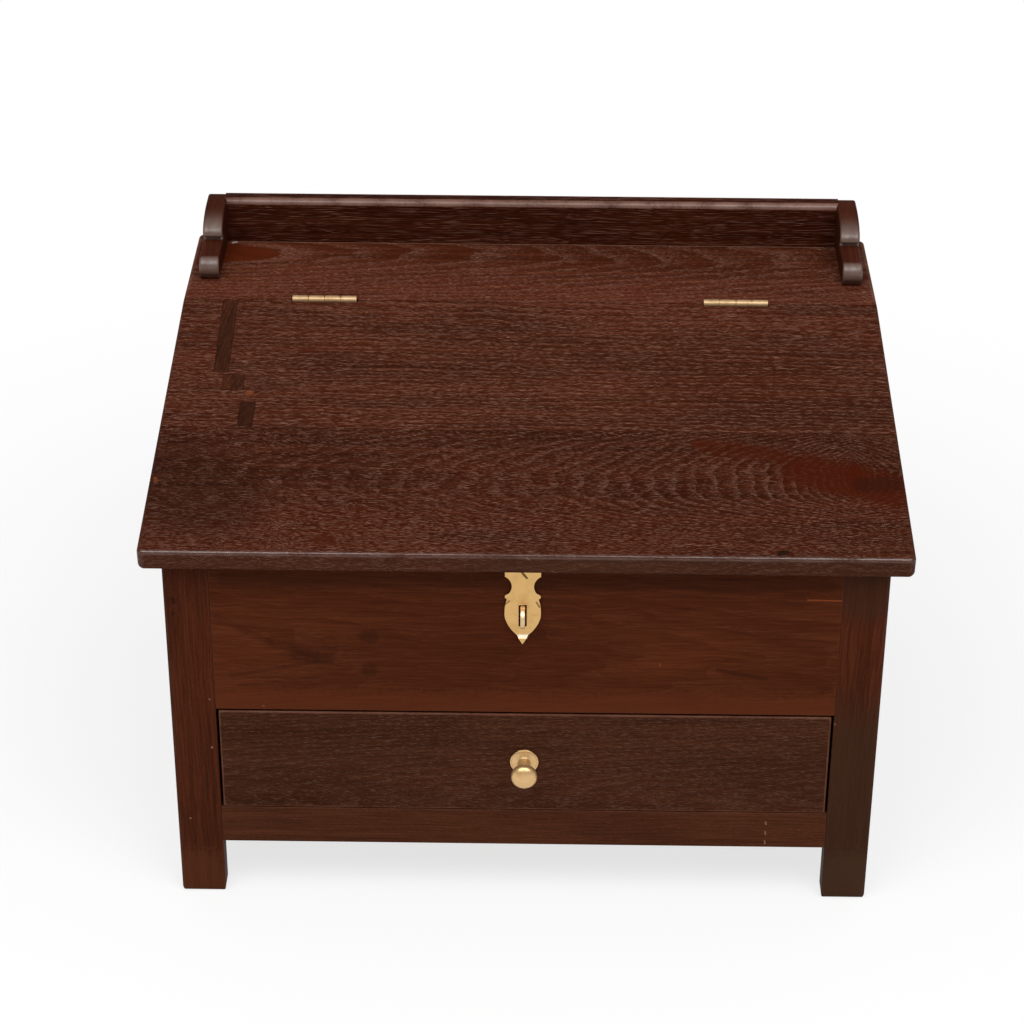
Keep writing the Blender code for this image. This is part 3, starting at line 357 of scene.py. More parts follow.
def edge_levels(thickness, under, over, fade=FADE, under_front=None):
    """Rows of (height, inset across, inset along, wear) up a board's edge, its upper face at height 0.

    They start inside the lower face, follow a quarter round out to the edge, climb it, and follow another
    quarter round in over the upper face.
    """
    front = under if under_front is None else under_front
    turns = [(1 - math.cos(a), 1 - math.sin(a)) for a in np.linspace(0, math.pi / 2, ROUND_STEPS + 1)]
    clear = [pair for pair in FADE if 2 * pair[0] < thickness - under - over]
    rows = [(-thickness, under + away, front + away, 0) for away, left in fade[::-1]]
    rows += [(under * rise - thickness, under * inset, front * inset, UNDER_WEAR) for rise, inset in turns]
    rows += [(under + away - thickness, 0, 0, UNDER_WEAR * left) for away, left in clear]
    rows += [(-over - away, 0, 0, left) for away, left in clear[::-1]]
    rows += [(-over * drop, over * inset, over * inset, 1) for inset, drop in turns]
    rows += [(0, over + away, over + away, left) for away, left in fade]
    return np.array(rows, dtype=float)


def carry(plan, levels):
    """One loop of the plan for each level, drawn in by that level's insets, and the wear at every point.

    Wear is the level's own times the plan's exposure, or the corner's where that is more.
    """
    height = np.broadcast_to(levels[:, 0, None, None], (len(levels), len(plan["off"]), 1))
    loops = np.stack([drawn_in(plan, row[1:3]) for row in levels])
    wear = np.maximum(np.outer(levels[:, 3], plan["wear"]), plan["own_wear"][None, :])
    return np.concatenate((loops, height), axis=-1), wear


def holed_cap(points, rim, pockets, sink):
    """Triangles of a flat cap round its pockets, and each pocket's walls and floor, sunk along the height.

    The cap's rim and the pockets' rings are tessellated as one polygon with holes.
    """
    rings, faces, extra = [rim], [], [points]
    count = len(points)
    height = points[rim[0], 2]
    for pocket in pockets:
        size = len(pocket)
        top = np.column_stack((pocket, np.full(size, height)))
        extra += [top, top + (0, 0, sink)]
        ring = np.arange(count, count + size)
        rings.append(ring)
        after = np.roll(ring, -1)
        faces += np.column_stack((ring, after, after + size, ring + size)).tolist()
        faces.append((ring + size).tolist())
        count += 2 * size
    points = np.concatenate(extra)
    order = np.concatenate(rings)
    outlines = [[Vector(points[i]) for i in ring] for ring in rings]
    faces += [[int(order[i]) for i in triangle] for triangle in tessellate_polygon(outlines)]
    return points, faces


def lofted(loops, wear, place=LYING, under_pockets=(), over_pockets=(), sink=0.0):
    """A closed skin: quads between neighbouring loops, and a cap over the first and the last of them.

    Its points are turned by the placing matrix's first three columns and moved by its fourth.
    """
    count, size = loops.shape[:2]
    index = np.arange(count * size).reshape(count, size)
    after = np.roll(index, -1, axis=1)
    faces = np.stack((index[:-1], after[:-1], after[1:], index[1:]), axis=-1).reshape(-1, 4).tolist()
    points = loops.reshape(-1, 3)
    for rim, pockets, way in ((index[0], under_pockets, 1), (index[-1], over_pockets, -1)):
        if len(pockets):
            points, more = holed_cap(points, rim, pockets, way * sink)
            faces += more
        else:
            faces.append(rim.tolist())
    wear = np.concatenate((wear.reshape(-1), np.zeros(len(points) - count * size)))
    matrix = np.array(place)
    return points @ matrix[:3, :3].T + matrix[:3, 3], faces, wear


def unworn(loops):
    """Loops with no wear at any point."""
    return loops, np.zeros(loops.shape[:2])


def ringed(loops, wear):
    """A closed skin that runs round both ways: quads between neighbouring loops, the last with the first."""
    count, size = loops.shape[:2]
    index = np.arange(count * size).reshape(count, size)
    across = np.roll(index, -1, axis=0)
    faces = np.stack((index, np.roll(index, -1, axis=1), np.roll(across, -1, axis=1), across), axis=-1)
    return loops.reshape(-1, 3), faces.reshape(-1, 4).tolist(), wear.reshape(-1)


def turned(profile, centre, axis, sides):
    """Rings of a turned shape: each (reach, radius) of the profile swept about an axis through centre."""
    axis = Vector(axis)
    across = axis.orthogonal().normalized()
    upright = axis.cross(across)
    angle = np.linspace(0, 2 * math.pi, sides, endpoint=False)
    ring = np.outer(np.cos(angle), across) + np.outer(np.sin(angle), upright)
    return np.array(centre) + profile[:, 0, None, None] * np.array(axis) + profile[:, 1, None, None] * ring


def add_piece(name, shells, finish, slot, body, *stands_for):
    """One object of closed skins with wear at its points, on a body in place of the solids it stands for."""
    points = np.concatenate([shell[0] for shell in shells])
    starts = np.cumsum([0] + [len(shell[0]) for shell in shells[:-1]])
    faces = []
    for shell, start in zip(shells, starts.tolist()):
        faces += [[corner + start for corner in face] for face in shell[1]]
    mesh = bpy.data.meshes.new(name)
    mesh.from_pydata(points.tolist(), [], faces)
    worn = mesh.attributes.new("worn", "FLOAT", "POINT")
    worn.data.foreach_set("value", np.concatenate([shell[2] for shell in shells]).astype(np.float32))
    return settle(name, mesh, finish, body, stands_for)


def settle(name, mesh, finish, body, stands_for):
    """Turns the faces outwards, smooths all but the sharp edges, and hands the piece to its body."""
    shape = bmesh.new()
    shape.from_mesh(mesh)
    bmesh.ops.recalc_face_normals(shape, faces=shape.faces)
    shape.to_mesh(mesh)
    shape.free()
    normals = np.empty(3 * len(mesh.vertices), dtype=np.float32)
    mesh.vertex_normals.foreach_get("vector", normals)
    mesh.attributes.new("facing", "FLOAT_VECTOR", "POINT").data.foreach_set("vector", normals)
    mesh.shade_smooth()
    mesh.set_sharp_from_angle(angle=SMOOTH_ANGLE)
    mesh.materials.clear()
    mesh.materials.append(finish)
    piece = bpy.data.objects.new(name, mesh)
    bpy.context.scene.collection.objects.link(piece)
    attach(piece, body)
    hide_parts(*stands_for)
    return piece


def smoothed(node, finish, body):
    """A copy of a solid with its loose triangles merged, so that its curved faces shade as one."""
    mesh = NODES[node].data.copy()
    shape = bmesh.new()
    shape.from_mesh(mesh)
    bmesh.ops.remove_doubles(shape, verts=shape.verts, dist=1e-6)
    shape.to_mesh(mesh)
    shape.free()
    return settle(f"{node}_smoothed", mesh, finish, body, (node,))


# Node trees

NOISE_MEAN = 0.5
NOISE_MIDDLE = (NOISE_MEAN, NOISE_MEAN, NOISE_MEAN)
VECTOR_INPUTS = ("Point", "Pith", "Pore Cells", "Start", "End", "Rub")

# Waves in a metre of each pattern: along the grain, across the board's face, and into it
SLOW_WAVES = (5.0, 15.0, 15.0)
RIPPLE_WAVES = (32.0, 60.0, 60.0)
RING_WAVES = (4.0, 45.0, 45.0)
CLOUD_WAVES = (4.0, 13.0, 13.0)
STREAK_WAVES = (2.4, 170.0, 170.0)
FIBRE_WAVES = (24.0, 900.0, 900.0)
SMEAR_WAVES = (6.0, 34.0, 34.0)
WEAR_WAVES = (38.0, 38.0, 38.0)
FINE_WEAR_WAVES = (420.0, 420.0, 420.0)
MARK_WAVES = (260.0, 260.0, 260.0)
STAIN_WAVES = (130.0, 130.0, 130.0)
# Shares of the slow waves and ripples that bend the grain, and of the rings' contrast left far from the pith
SLOW_SHARE = (0.0, 1.0, 1.0)
RIPPLE_SHARE = (0.0, 0.4, 0.4)
CONTRAST_LEFT = 0.4
# Where smooth steps begin and end: wood by its way through a ring, the heart and its rim by the heart's
# radius, the rest by the pattern's own strength
EARLY_WOOD = (0.0, 0.60)
LATE_WOOD = (0.45, 0.95)
RIM_START = (0.98, 1.01)
RIM_END = (1.02, 1.07)
CRISP_HEART = (0.1, 0.3)
PLAIN_HEART = (0.0, 0.6)
RED_CLOUD = (0.42, 0.66)
DARK_SMEAR = (0.52, 0.72)
FIBRE_SPREAD = (0.3, 0.7)
RUBBED_LEVEL = (0.62, 1.15)
MARK_RIM = (0.45, 1.0)
DULL_STAIN = (0.42, 0.72)
# What the darkest and lightest fibres multiply a colour by, and how far streaks spread about their mean
FIBRE_TONES = (0.80, 1.18)
STREAK_SPREAD = 0.2
# A front's tone: what the clouds leave of it, and what it leaves of the pores
FRONT_CLOUD = (0.3, 0.7, 1.0, 0.6)
FRONT_PORES = (0.0, 0.6, 1.0, 0.3)
# How far forward and up a face points where it keeps a polish
POLISH_FORWARD = (-0.65, -0.15)
POLISH_UP = (-0.25, 0.15)
# Rings that noise moves a ring by, and the coarse and fine noise that breaks up wear, with its mean
RING_SHIFT = 2.0
COARSE_WEAR = 0.9
FINE_WEAR = 0.35
WEAR_MEAN = 0.62
# How the pores' share grows with early wood above its mean, with clouds, and at the heart's rim and inside
EARLY_MEAN = 0.35
CLOUD_PORES = 0.9
RIM_PORES = 0.5
HEART_PORES = -0.7
# A pore: where its chance makes it there, where it ends in its cell, and its strength from chance and least
PORE_THERE = (0.0, 0.12)
PORE_END = (0.16, 0.52)
PORE_STRENGTH = (0.75, 0.25)
# Pores: sizes of the two layers' cells, the second layer's share, and how far a row slides along the last
PORE_LAYERS = ((1.0, 1.0, 1.0), (1.8, 1.45, 1.45))
FINER_SHARE = 0.8
PORE_SLIDE = 0.37
# Shine and relief: a bump is its strength and its depth in metres
WOOD_ROUGHNESS = 0.5
PORE_ROUGHNESS = 0.2
WOOD_SPECULAR = 0.02
WOOD_BUMP = (0.22, 0.0002)
PORE_DEPTH = 0.8
BRASS_BUMP = (0.1, 0.00005)
NICK_DEPTH = 6.0


class Nodes:
    """A node tree, with short words for the nodes that are made in it."""

    def __init__(self, tree):
        self.tree = tree

    def feed(self, socket, value):
        """Links a socket to the input, or sets the input to a plain value."""
        if isinstance(value, bpy.types.NodeSocket):
            self.tree.links.new(value, socket)
        else:
            socket.default_value = value

    def give(self, sockets, **values):
        """Feeds inputs by their names, with _ for a blank."""
        for key, value in values.items():
            self.feed(sockets[key.replace("_", " ")], value)

    def add(self, kind, settings=None, **inputs):
        """A shader node with its settings and inputs."""
        made = self.tree.nodes.new("ShaderNode" + kind)
        for key, value in (settings or {}).items():
            setattr(made, key, value)
        self.give(made.inputs, **inputs)
        return made

    def step(self, kind, operation, values):
        """The outputs of one step of arithmetic on the values, in their order."""
        made = self.add(kind, {"operation": operation})
        for socket, value in zip(made.inputs, values):
            self.feed(socket, value)
        return made.outputs

    def sums(self, operation, *values):
        """One step of arithmetic on numbers."""
        return self.step("Math", operation, values)[0]

    def times(self, first, second):
        """The first number times the second."""
        return self.sums("MULTIPLY", first, second)

    def times_plus(self, first, second, third):
        """The first number times the second, plus the third."""
        return self.sums("MULTIPLY_ADD", first, second, third)

    def most(self, first, second):
        """The greater of two numbers."""
        return self.sums("MAXIMUM", first, second)

    def vectors(self, operation, *values):
        """One step of arithmetic on vectors: a number for a length or product, or else a vector."""
        outputs = self.step("VectorMath", operation, values)
        return outputs["Value" if operation in ("LENGTH", "DISTANCE", "DOT_PRODUCT") else "Vector"]

    def scaled(self, vector, scale):
        """A vector times a number."""
        made = self.add("VectorMath", {"operation": "SCALE"}, Scale=scale)
        self.feed(made.inputs[0], vector)
        return made.outputs[0]

    def parts(self, vector):
        """The X, Y and Z of a vector."""
        return self.add("SeparateXYZ", Vector=vector).outputs

    def whole(self, x, y, z):
        """The vector of an X, a Y and a Z."""
        return self.add("CombineXYZ", X=x, Y=y, Z=z).outputs[0]

    def fade(self, value, low, high, first=0.0, last=1.0):
        """A smooth step of the value from first at low to last at high."""
        made = self.add("MapRange", {"interpolation_type": "SMOOTHSTEP"})
        self.give(made.inputs, Value=value, From_Min=low, From_Max=high, To_Min=first, To_Max=last)
        return made.outputs[0]

    def tint(self, share, first, second, blend="MIX"):
        """A share of the second colour laid over the first, mixed or multiplied."""
        made = self.add("Mix", {"data_type": "RGBA", "blend_type": blend})
        self.feed(made.inputs[0], share)
        for socket, colour in ((made.inputs[6], first), (made.inputs[7], second)):
            self.feed(socket, colour if isinstance(colour, bpy.types.NodeSocket) else (*colour, 1.0))
        return made.outputs[2]

    def noise(self, point, stretch, detail=2.0, roughness=0.5):
        """Noise over the point, with one frequency for each axis."""
        stretched = self.vectors("MULTIPLY", point, stretch)
        return self.add("TexNoise", Vector=stretched, Scale=1.0, Detail=detail, Roughness=roughness).outputs

    def bumped(self, bump, height):
        """A normal tilted by a height, from the bump's strength and depth."""
        return self.add("Bump", Strength=bump[0], Distance=bump[1], Height=height).outputs[0]

    def placed(self, group, **inputs):
        """The outputs of a node group."""
        return self.add("Group", {"node_tree": group}, **inputs).outputs

    def kept(self, name, output):
        """What the mesh keeps under a name at its points."""
        return self.add("Attribute", {"attribute_name": name}).outputs[output]

    def where(self):
        """The point, in the object's own coordinates."""
        return self.add("TexCoord").outputs["Object"]

    def marked(self, where, colour, marks):
        """The colour with each mark's tone laid over it by its strength, and the masks of the marks."""
        masks = []
        for tone, start, end, width, strength in marks:
            masks.append(self.placed(MARK, Point=where, Start=start, End=end, Width=width)["Mark"])
            colour = self.tint(self.times(masks[-1], strength), colour, tone)
        return colour, masks


def new_group(name, inputs, outputs):
    """A node group with named inputs and outputs: its nodes, what comes in and what goes out."""
    tree = bpy.data.node_groups.new(name, "ShaderNodeTree")
    for key in inputs:
        kind = "NodeSocketVector" if key in VECTOR_INPUTS else "NodeSocketFloat"
        tree.interface.new_socket(key, in_out="INPUT", socket_type=kind)
    for key in outputs:
        tree.interface.new_socket(key, in_out="OUTPUT", socket_type="NodeSocketFloat")
    return Nodes(tree), tree.nodes.new("NodeGroupInput").outputs, tree.nodes.new("NodeGroupOutput").inputs


def grain_group():
    """Growth rings, fibres and pores of a board sawn from a log.

    A ring's number is the distance from the pith, which leans against the board in a bow, over the ring's
    width. Away from the pith the distance across grows with its square times a number that straightens the
    arches' arms. Wood inside the heart's radius is plain. Pores are long cells of two Voronoi patterns, each
    row of cells slid along the last, with more of them where a ring starts and fewer in the heart. Along the
    grain the rings lose contrast over the ring reach.
    """
    inputs = ("Point", "Pith", "Lean", "Bow", "Straighten", "Ring Width", "Waver", "Heart Radius",
              "Heart Fade", "Pore Cells", "Pore Share", "Banding", "Ring Reach")
    outputs = ("Late", "Heart", "Pore", "Streak", "Fibre", "Cloud", "Smear")
    t, come, go = new_group("stained grain", inputs, outputs)
    slow = t.noise(come["Point"], SLOW_WAVES, 1.0)["Color"]
    ripple = t.noise(come["Point"], RIPPLE_WAVES, 1.0)["Color"]
    shift = t.vectors("MULTIPLY", t.vectors("SUBTRACT", slow, NOISE_MIDDLE), SLOW_SHARE)
    little = t.vectors("MULTIPLY", t.vectors("SUBTRACT", ripple, NOISE_MIDDLE), RIPPLE_SHARE)
    point = t.vectors("ADD", come["Point"], t.scaled(t.vectors("ADD", shift, little), come["Waver"]))
    away = t.parts(t.vectors("SUBTRACT", point, come["Pith"]))
    lengthwise = t.sums("ABSOLUTE", away["X"])
    contrast = t.fade(lengthwise, 0.0, come["Ring Reach"], 1.0, CONTRAST_LEFT)
    bowed = t.sums("POWER", lengthwise, come["Bow"])
    depth = t.times_plus(bowed, come["Lean"], away["Z"])
    across = t.sums("POWER", away["Y"], 2.0)
    across = t.times_plus(t.times(across, across), come["Straighten"], across)
    radius = t.sums("SQRT", t.times_plus(depth, depth, across))
    uneven = t.noise(point, RING_WAVES)[0]
    ring = t.sums("FRACT", t.times_plus(uneven, RING_SHIFT, t.sums("DIVIDE", radius, come["Ring Width"])))
    early = t.fade(ring, *EARLY_WOOD, 1.0, 0.0)
    from_heart = t.sums("DIVIDE", radius, come["Heart Radius"])
    heart = t.fade(from_heart, t.sums("SUBTRACT", 1.0, come["Heart Fade"]), RIM_END[0], 1.0, 0.0)
    crisp = t.fade(come["Heart Fade"], *CRISP_HEART, 1.0, 0.0)
    heart_rim = t.times(t.fade(from_heart, *RIM_START), t.fade(from_heart, *RIM_END, crisp, 0.0))
    cloud = t.noise(point, CLOUD_WAVES)[0]
    banded = t.times(contrast, come["Banding"])
    kept = t.times_plus(t.sums("SUBTRACT", early, EARLY_MEAN), banded, come["Pore Share"])
    kept = t.times_plus(t.sums("SUBTRACT", cloud, NOISE_MEAN), CLOUD_PORES, kept)
    kept = t.times_plus(heart, HEART_PORES, t.times_plus(heart_rim, RIM_PORES, kept))
    cell = t.parts(t.vectors("MULTIPLY", point, come["Pore Cells"]))
    slid = t.times_plus(cell["Y"], PORE_SLIDE, t.times_plus(cell["Z"], PORE_SLIDE, cell["X"]))
    slid = t.whole(slid, cell["Y"], cell["Z"])
    layers = []
    for finer in PORE_LAYERS:
        pores = t.add("TexVoronoi", Vector=t.vectors("MULTIPLY", slid, finer), Scale=1.0).outputs
        chance = t.add("SeparateColor", Color=pores["Color"]).outputs
        there = t.fade(t.sums("SUBTRACT", kept, chance["Red"]), *PORE_THERE)
        dash = t.fade(pores["Distance"], *PORE_END, 1.0, 0.0)
        strength = t.times_plus(chance["Green"], *PORE_STRENGTH)
        layers.append(t.times(t.times(dash, there), strength))
    late = t.times(t.fade(ring, *LATE_WOOD), t.fade(heart, *PLAIN_HEART, 1.0, 0.0))
    t.give(
        go,
        Late=t.times(late, contrast),
        Heart=heart,
        Pore=t.most(layers[0], t.times(layers[1], FINER_SHARE)),
        Streak=t.noise(point, STREAK_WAVES, 3.0, 0.6)[0],
        Fibre=t.noise(point, FIBRE_WAVES)[0],
        Cloud=cloud,
        Smear=t.fade(t.noise(point, SMEAR_WAVES)[0], *DARK_SMEAR),
    )
    return t.tree


def wear_group():
    """Worn arrises: the wear kept at the points, broken up by coarse and fine noise, cut off smoothly."""
    t, come, go = new_group("worn arris", ("Worn", "Point"), ("Rubbed",))
    coarse = t.noise(come["Point"], WEAR_WAVES, 3.0)[0]
    fine = t.noise(come["Point"], FINE_WEAR_WAVES)[0]
    broken = t.sums("ADD", t.times(coarse, COARSE_WEAR), t.times(fine, FINE_WEAR))
    level = t.sums("ADD", come["Worn"], t.sums("SUBTRACT", broken, WEAR_MEAN))
    t.give(go, Rubbed=t.times(t.fade(level, *RUBBED_LEVEL), come["Worn"]))
    return t.tree


def mark_group():
    """A mark, such as a cut, crack, knot, painted shadow or painted highlight: nearness to a stretch from
    its start to its end, with a slightly uneven rim.

    The nearest point of the stretch is its start plus the share of its way that the point's own way has.
    """
    t, come, go = new_group("small mark", ("Point", "Start", "End", "Width"), ("Mark",))
    way = t.vectors("SUBTRACT", come["End"], come["Start"])
    away = t.vectors("SUBTRACT", come["Point"], come["Start"])
    square = t.sums("ADD", t.vectors("DOT_PRODUCT", way, way), 1e-9)
    share = t.sums("DIVIDE", t.vectors("DOT_PRODUCT", away, way), square)
    held = t.sums("MINIMUM", t.most(share, 0.0), 1.0)
    distance = t.vectors("DISTANCE", away, t.scaled(way, held))
    uneven = t.noise(come["Point"], MARK_WAVES)[0]
    rim = t.times(come["Width"], t.sums("ADD", uneven, 1 - NOISE_MEAN))
    t.give(go, Mark=t.fade(t.sums("DIVIDE", distance, rim), *MARK_RIM, 1.0, 0.0))
    return t.tree


def brass_group():
    """Brass in use: a slow stain, and fine rubbed lines that run one way."""
    t, come, go = new_group("handled brass", ("Point", "Rub"), ("Stain", "Rubbing"))
    stain = t.noise(come["Point"], STAIN_WAVES, 4.0, 0.6)[0]
    t.give(go, Stain=stain, Rubbing=t.noise(come["Point"], come["Rub"], 3.0)[0])
    return t.tree


GRAIN = grain_group()
WEAR = wear_group()
MARK = mark_group()
BRASS = brass_group()

# The point's parts in the order along the grain, across the board's face, and into it
GRAIN_ORDER = {"X": "XYZ", "Y": "YXZ", "Z": "ZXY", "X upright": "XZY"}


def new_finish(name):
    """A material, its nodes and its shader."""
    material = bpy.data.materials.new(name)
    material.use_nodes = True
    return material, Nodes(material.node_tree), material.node_tree.nodes["Principled BSDF"]


def wood(name, tones, grain="X", pith=(0, 0.2, 0.2), lean=0.02, ring=0.002, bow=1.0, straighten=0.0,
         waver=0.006, heart=0.001, heart_fade=0.07, pore=(0.0044, 0.00052), share=0.45, banding=0.6,
         ring_reach=100.0, open_pores=0.9, streaks=1.0, rings=0.35, clouds=0.5, smears=0.6, rubbed=0.1,
         sheen=0.0, polish=0.1, satin=0.2, front=None, marks=()):
    """Stained wood: dark and light streaks, red clouds, late wood, pale pores, worn arrises, then marks.

    tones are the dark, the main, the red, the pore's and the rubbed colour. front is a tone for what faces
    forward, its share, and how far forward and up a face points where the tone is full and where it ends.
    On the brackets this front tone is a painted sheen, and on the gallery and the drawer front the rubbed
    colour on the arrises is partly a painted highlight.
    """
    dark, main, red, pale, worn = tones
    material, t, shader = new_finish(name)
    where = t.where()
    place = t.parts(where)
    facing = t.parts(t.kept("facing", "Vector"))
    point = t.whole(*(place[axis] for axis in GRAIN_ORDER[grain]))
    cells = (1 / pore[0], 1 / pore[1], 1 / pore[1])
    figure = t.placed(
        GRAIN, Point=point, Pith=pith, Lean=lean, Bow=bow, Straighten=straighten, Ring_Width=ring,
        Ring_Reach=ring_reach, Waver=waver, Heart_Radius=heart, Heart_Fade=heart_fade, Pore_Cells=cells,
        Pore_Share=share, Banding=banding)
    spread = STREAK_SPREAD / streaks
    light = t.fade(figure["Streak"], NOISE_MEAN - spread, NOISE_MEAN + spread)
    reddened = t.most(t.fade(figure["Cloud"], *RED_CLOUD, 0.0, clouds), figure["Heart"])
    darkened = t.most(t.times(figure["Late"], rings), t.times(figure["Smear"], smears))
    fibre = t.fade(figure["Fibre"], *FIBRE_SPREAD, *FIBRE_TONES)
    colour = t.tint(reddened, t.tint(light, dark, main), red)
    colour = t.tint(darkened, colour, dark)
    colour = t.tint(1.0, colour, t.whole(fibre, fibre, fibre), "MULTIPLY")
    opened = t.times(figure["Pore"], open_pores)
    # A tone by which way a face points: the lid's greyer front edge, and a painted sheen on the brackets
    if front:
        tone, front_share, forwards, upwards = front
        at_front = t.times(t.fade(facing["Y"], -forwards[0], -forwards[1], front_share, 0.0),
                           t.fade(facing["Z"], upwards[1], upwards[0]))
        at_front = t.times(at_front, t.fade(figure["Cloud"], *FRONT_CLOUD))
        colour = t.tint(at_front, colour, tone)
        opened = t.times(opened, t.fade(at_front, *FRONT_PORES))
    colour = t.tint(opened, colour, pale)
    edges = t.placed(WEAR, Worn=t.kept("worn", "Fac"), Point=where)["Rubbed"]
    # The rubbed colour on the arrises: worn wood, and on the gallery and the drawer front partly a painted
    # highlight
    colour = t.tint(t.times(edges, rubbed), colour, worn)
    colour = t.marked(where, colour, marks)[0]
    coated = t.times_plus(figure["Streak"], sheen, t.times(edges, polish))
    forward = t.times(t.fade(facing["Y"], *POLISH_FORWARD, 1.0, 0.0), t.fade(facing["Z"], *POLISH_UP))
    height = t.times_plus(figure["Pore"], -PORE_DEPTH, figure["Fibre"])
    roughness = t.times_plus(figure["Pore"], PORE_ROUGHNESS, WOOD_ROUGHNESS)
    t.give(shader.inputs, Base_Color=colour, Roughness=roughness, Coat_Weight=t.times(coated, forward),
           Normal=t.bumped(WOOD_BUMP, height))
    shader.inputs["Specular IOR Level"].default_value = WOOD_SPECULAR
    shader.inputs["Coat Roughness"].default_value = satin
    return material


def brass(name, bright, dull, rub, smooth, spread, marks=(), bare=1.0):
    """Brass: bright where it is handled, duller in clouds, rubbed one way, with marks laid over it and
    pressed
    into it: dark cuts, painted shade in the hinges' knuckle seams, and a painted highlight on the hasp's
    bend.

    bare is the share of the metal that no film of wax and dust covers.
    """
    material, t, shader = new_finish(name)
    where = t.where()
    handled = t.placed(BRASS, Point=where, Rub=rub)
    colour = t.tint(t.fade(handled["Stain"], *DULL_STAIN), bright, dull)
    colour, mark_masks = t.marked(where, colour, marks)
    roughness = t.times_plus(handled["Rubbing"], spread, smooth)
    roughness = t.times_plus(handled["Stain"], spread, roughness)
    height = handled["Rubbing"]
    # Every mark is also pressed in as a dent, painted highlights and shade included
    for mark_mask in mark_masks:
        height = t.times_plus(mark_mask, -NICK_DEPTH, height)
    t.give(shader.inputs, Base_Color=colour, Roughness=roughness, Normal=t.bumped(BRASS_BUMP, height))
    shader.inputs["Metallic"].default_value = bare
    return material


# Finishes: each wood's dark, main, red, pore's and rubbed tone, then the marks and the materials

TOP_TONES = ((0.030, 0.0060, 0.0019), (0.057, 0.0122, 0.0044), (0.069, 0.0110, 0.0029),
             (0.270, 0.140, 0.095), (0.160, 0.070, 0.046))
LID_FRONT_TONES = ((0.0250, 0.0050, 0.0016), (0.048, 0.0105, 0.0038), (0.047, 0.0057, 0.0010),
                   (0.240, 0.128, 0.086), (0.160, 0.070, 0.046))
LEDGE_TONES = ((0.043, 0.0093, 0.0034), (0.084, 0.0200, 0.0080), (0.077, 0.0130, 0.0038),
               (0.290, 0.160, 0.116), (0.170, 0.080, 0.052))
# The gallery's rubbed tone is pale: along the top's front round it is partly a painted highlight
GALLERY_TONES = ((0.020, 0.0036, 0.0012), (0.040, 0.0080, 0.0028), (0.048, 0.0084, 0.0027),
                 (0.180, 0.085, 0.058), (0.200, 0.098, 0.070))
BRACKET_TONES = ((0.030, 0.0066, 0.0028), (0.052, 0.0122, 0.0058), (0.062, 0.0125, 0.0050),
                 (0.100, 0.044, 0.030), (0.100, 0.040, 0.026))
FRONT_TONES = ((0.044, 0.0096, 0.0029), (0.066, 0.0160, 0.0057), (0.077, 0.0176, 0.0059),
               (0.100, 0.034, 0.016), (0.110, 0.040, 0.020))
RAIL_TONES = ((0.045, 0.0124, 0.0051), (0.066, 0.0202, 0.0086), (0.074, 0.0213, 0.0084),
              (0.112, 0.054, 0.033), (0.110, 0.040, 0.020))
LEG_TONES = ((0.038, 0.0086, 0.0030), (0.062, 0.0150, 0.0060), (0.070, 0.0155, 0.0058),
             (0.090, 0.036, 0.020), (0.110, 0.045, 0.025))
DRAWER_TONES = ((0.032, 0.0092, 0.0037), (0.051, 0.0157, 0.0069), (0.055, 0.0152, 0.0060),
                (0.120, 0.063, 0.042), (0.110, 0.036, 0.016))
INNER_TONES = ((0.075, 0.030, 0.015), (0.130, 0.060, 0.032), (0.140, 0.058, 0.028),
               (0.060, 0.026, 0.014), (0.200, 0.110, 0.060))
PATCH_TONES = ((0.022, 0.0064, 0.0026), (0.055, 0.0152, 0.0060), (0.063, 0.0164, 0.0062),
               (0.116, 0.055, 0.038), (0.060, 0.028, 0.018))
LID_EDGE_TONE = (0.056, 0.0245, 0.0130)
# Painted sheen: a pale grey-brown tone on the brackets' lobes and nose where they face forward
BRACKET_PAINTED_SHEEN = (0.144, 0.092, 0.070)
LID_RED = LID_FRONT_TONES[2]
PALE = (0.30, 0.16, 0.105)
ORANGE = (0.200, 0.045, 0.012)
# A dark tone: knots, flame and dark patches in the wood, and a painted shadow under the lid
DARK_AND_PAINTED_SHADE = (0.012, 0.0040, 0.0022)
GLUE = (0.45, 0.36, 0.32)
WARM = (0.092, 0.0215, 0.0076)
# A dark tone for the right leg: darker towards its foot, and a painted shadow at its top
LEG_DARK_AND_PAINTED_SHADE = (0.034, 0.0162, 0.0084)
LEFT_FOOT = (0.084, 0.0260, 0.0110)
RIGHT_FOOT = (0.054, 0.0270, 0.0148)
NICK = (0.030, 0.010, 0.004)
# Painted shade and reflection for the seams between hinge knuckles
SEAM_PAINTED_SHADE = (0.330, 0.130, 0.055)
# A painted highlight tone for the hasp's bend
GLINT = (0.74, 0.60, 0.47)


def on_front(x, z):
    """A place on the front's plane."""
    return (x, FRONT, z)


def on_ledge(x, y):
    """A place on the ledge's upper face."""
    return (x, y, LEDGE_TOP)


def on_hasp(across, drop):
    """A place on the hasp's face, from its distance across and its drop below the pin."""
    return (HASP_AXIS.x + across, HASP_AXIS.y + HASP_BORE, HASP_AXIS.z - drop)


def on_hinge(x, rise):
    """A place on a hinge's barrel, from how far it is above the ledge."""
    return (x, LID_AXIS.y, LEDGE_TOP + rise)


def marks_on(face, *rows):
    """Marks as (tone, start, end, width, strength), from rows with two numbers for the start and the end."""
    return [(tone, face(*row[0:2]), face(*row[2:4]), *row[4:]) for tone, *row in rows]


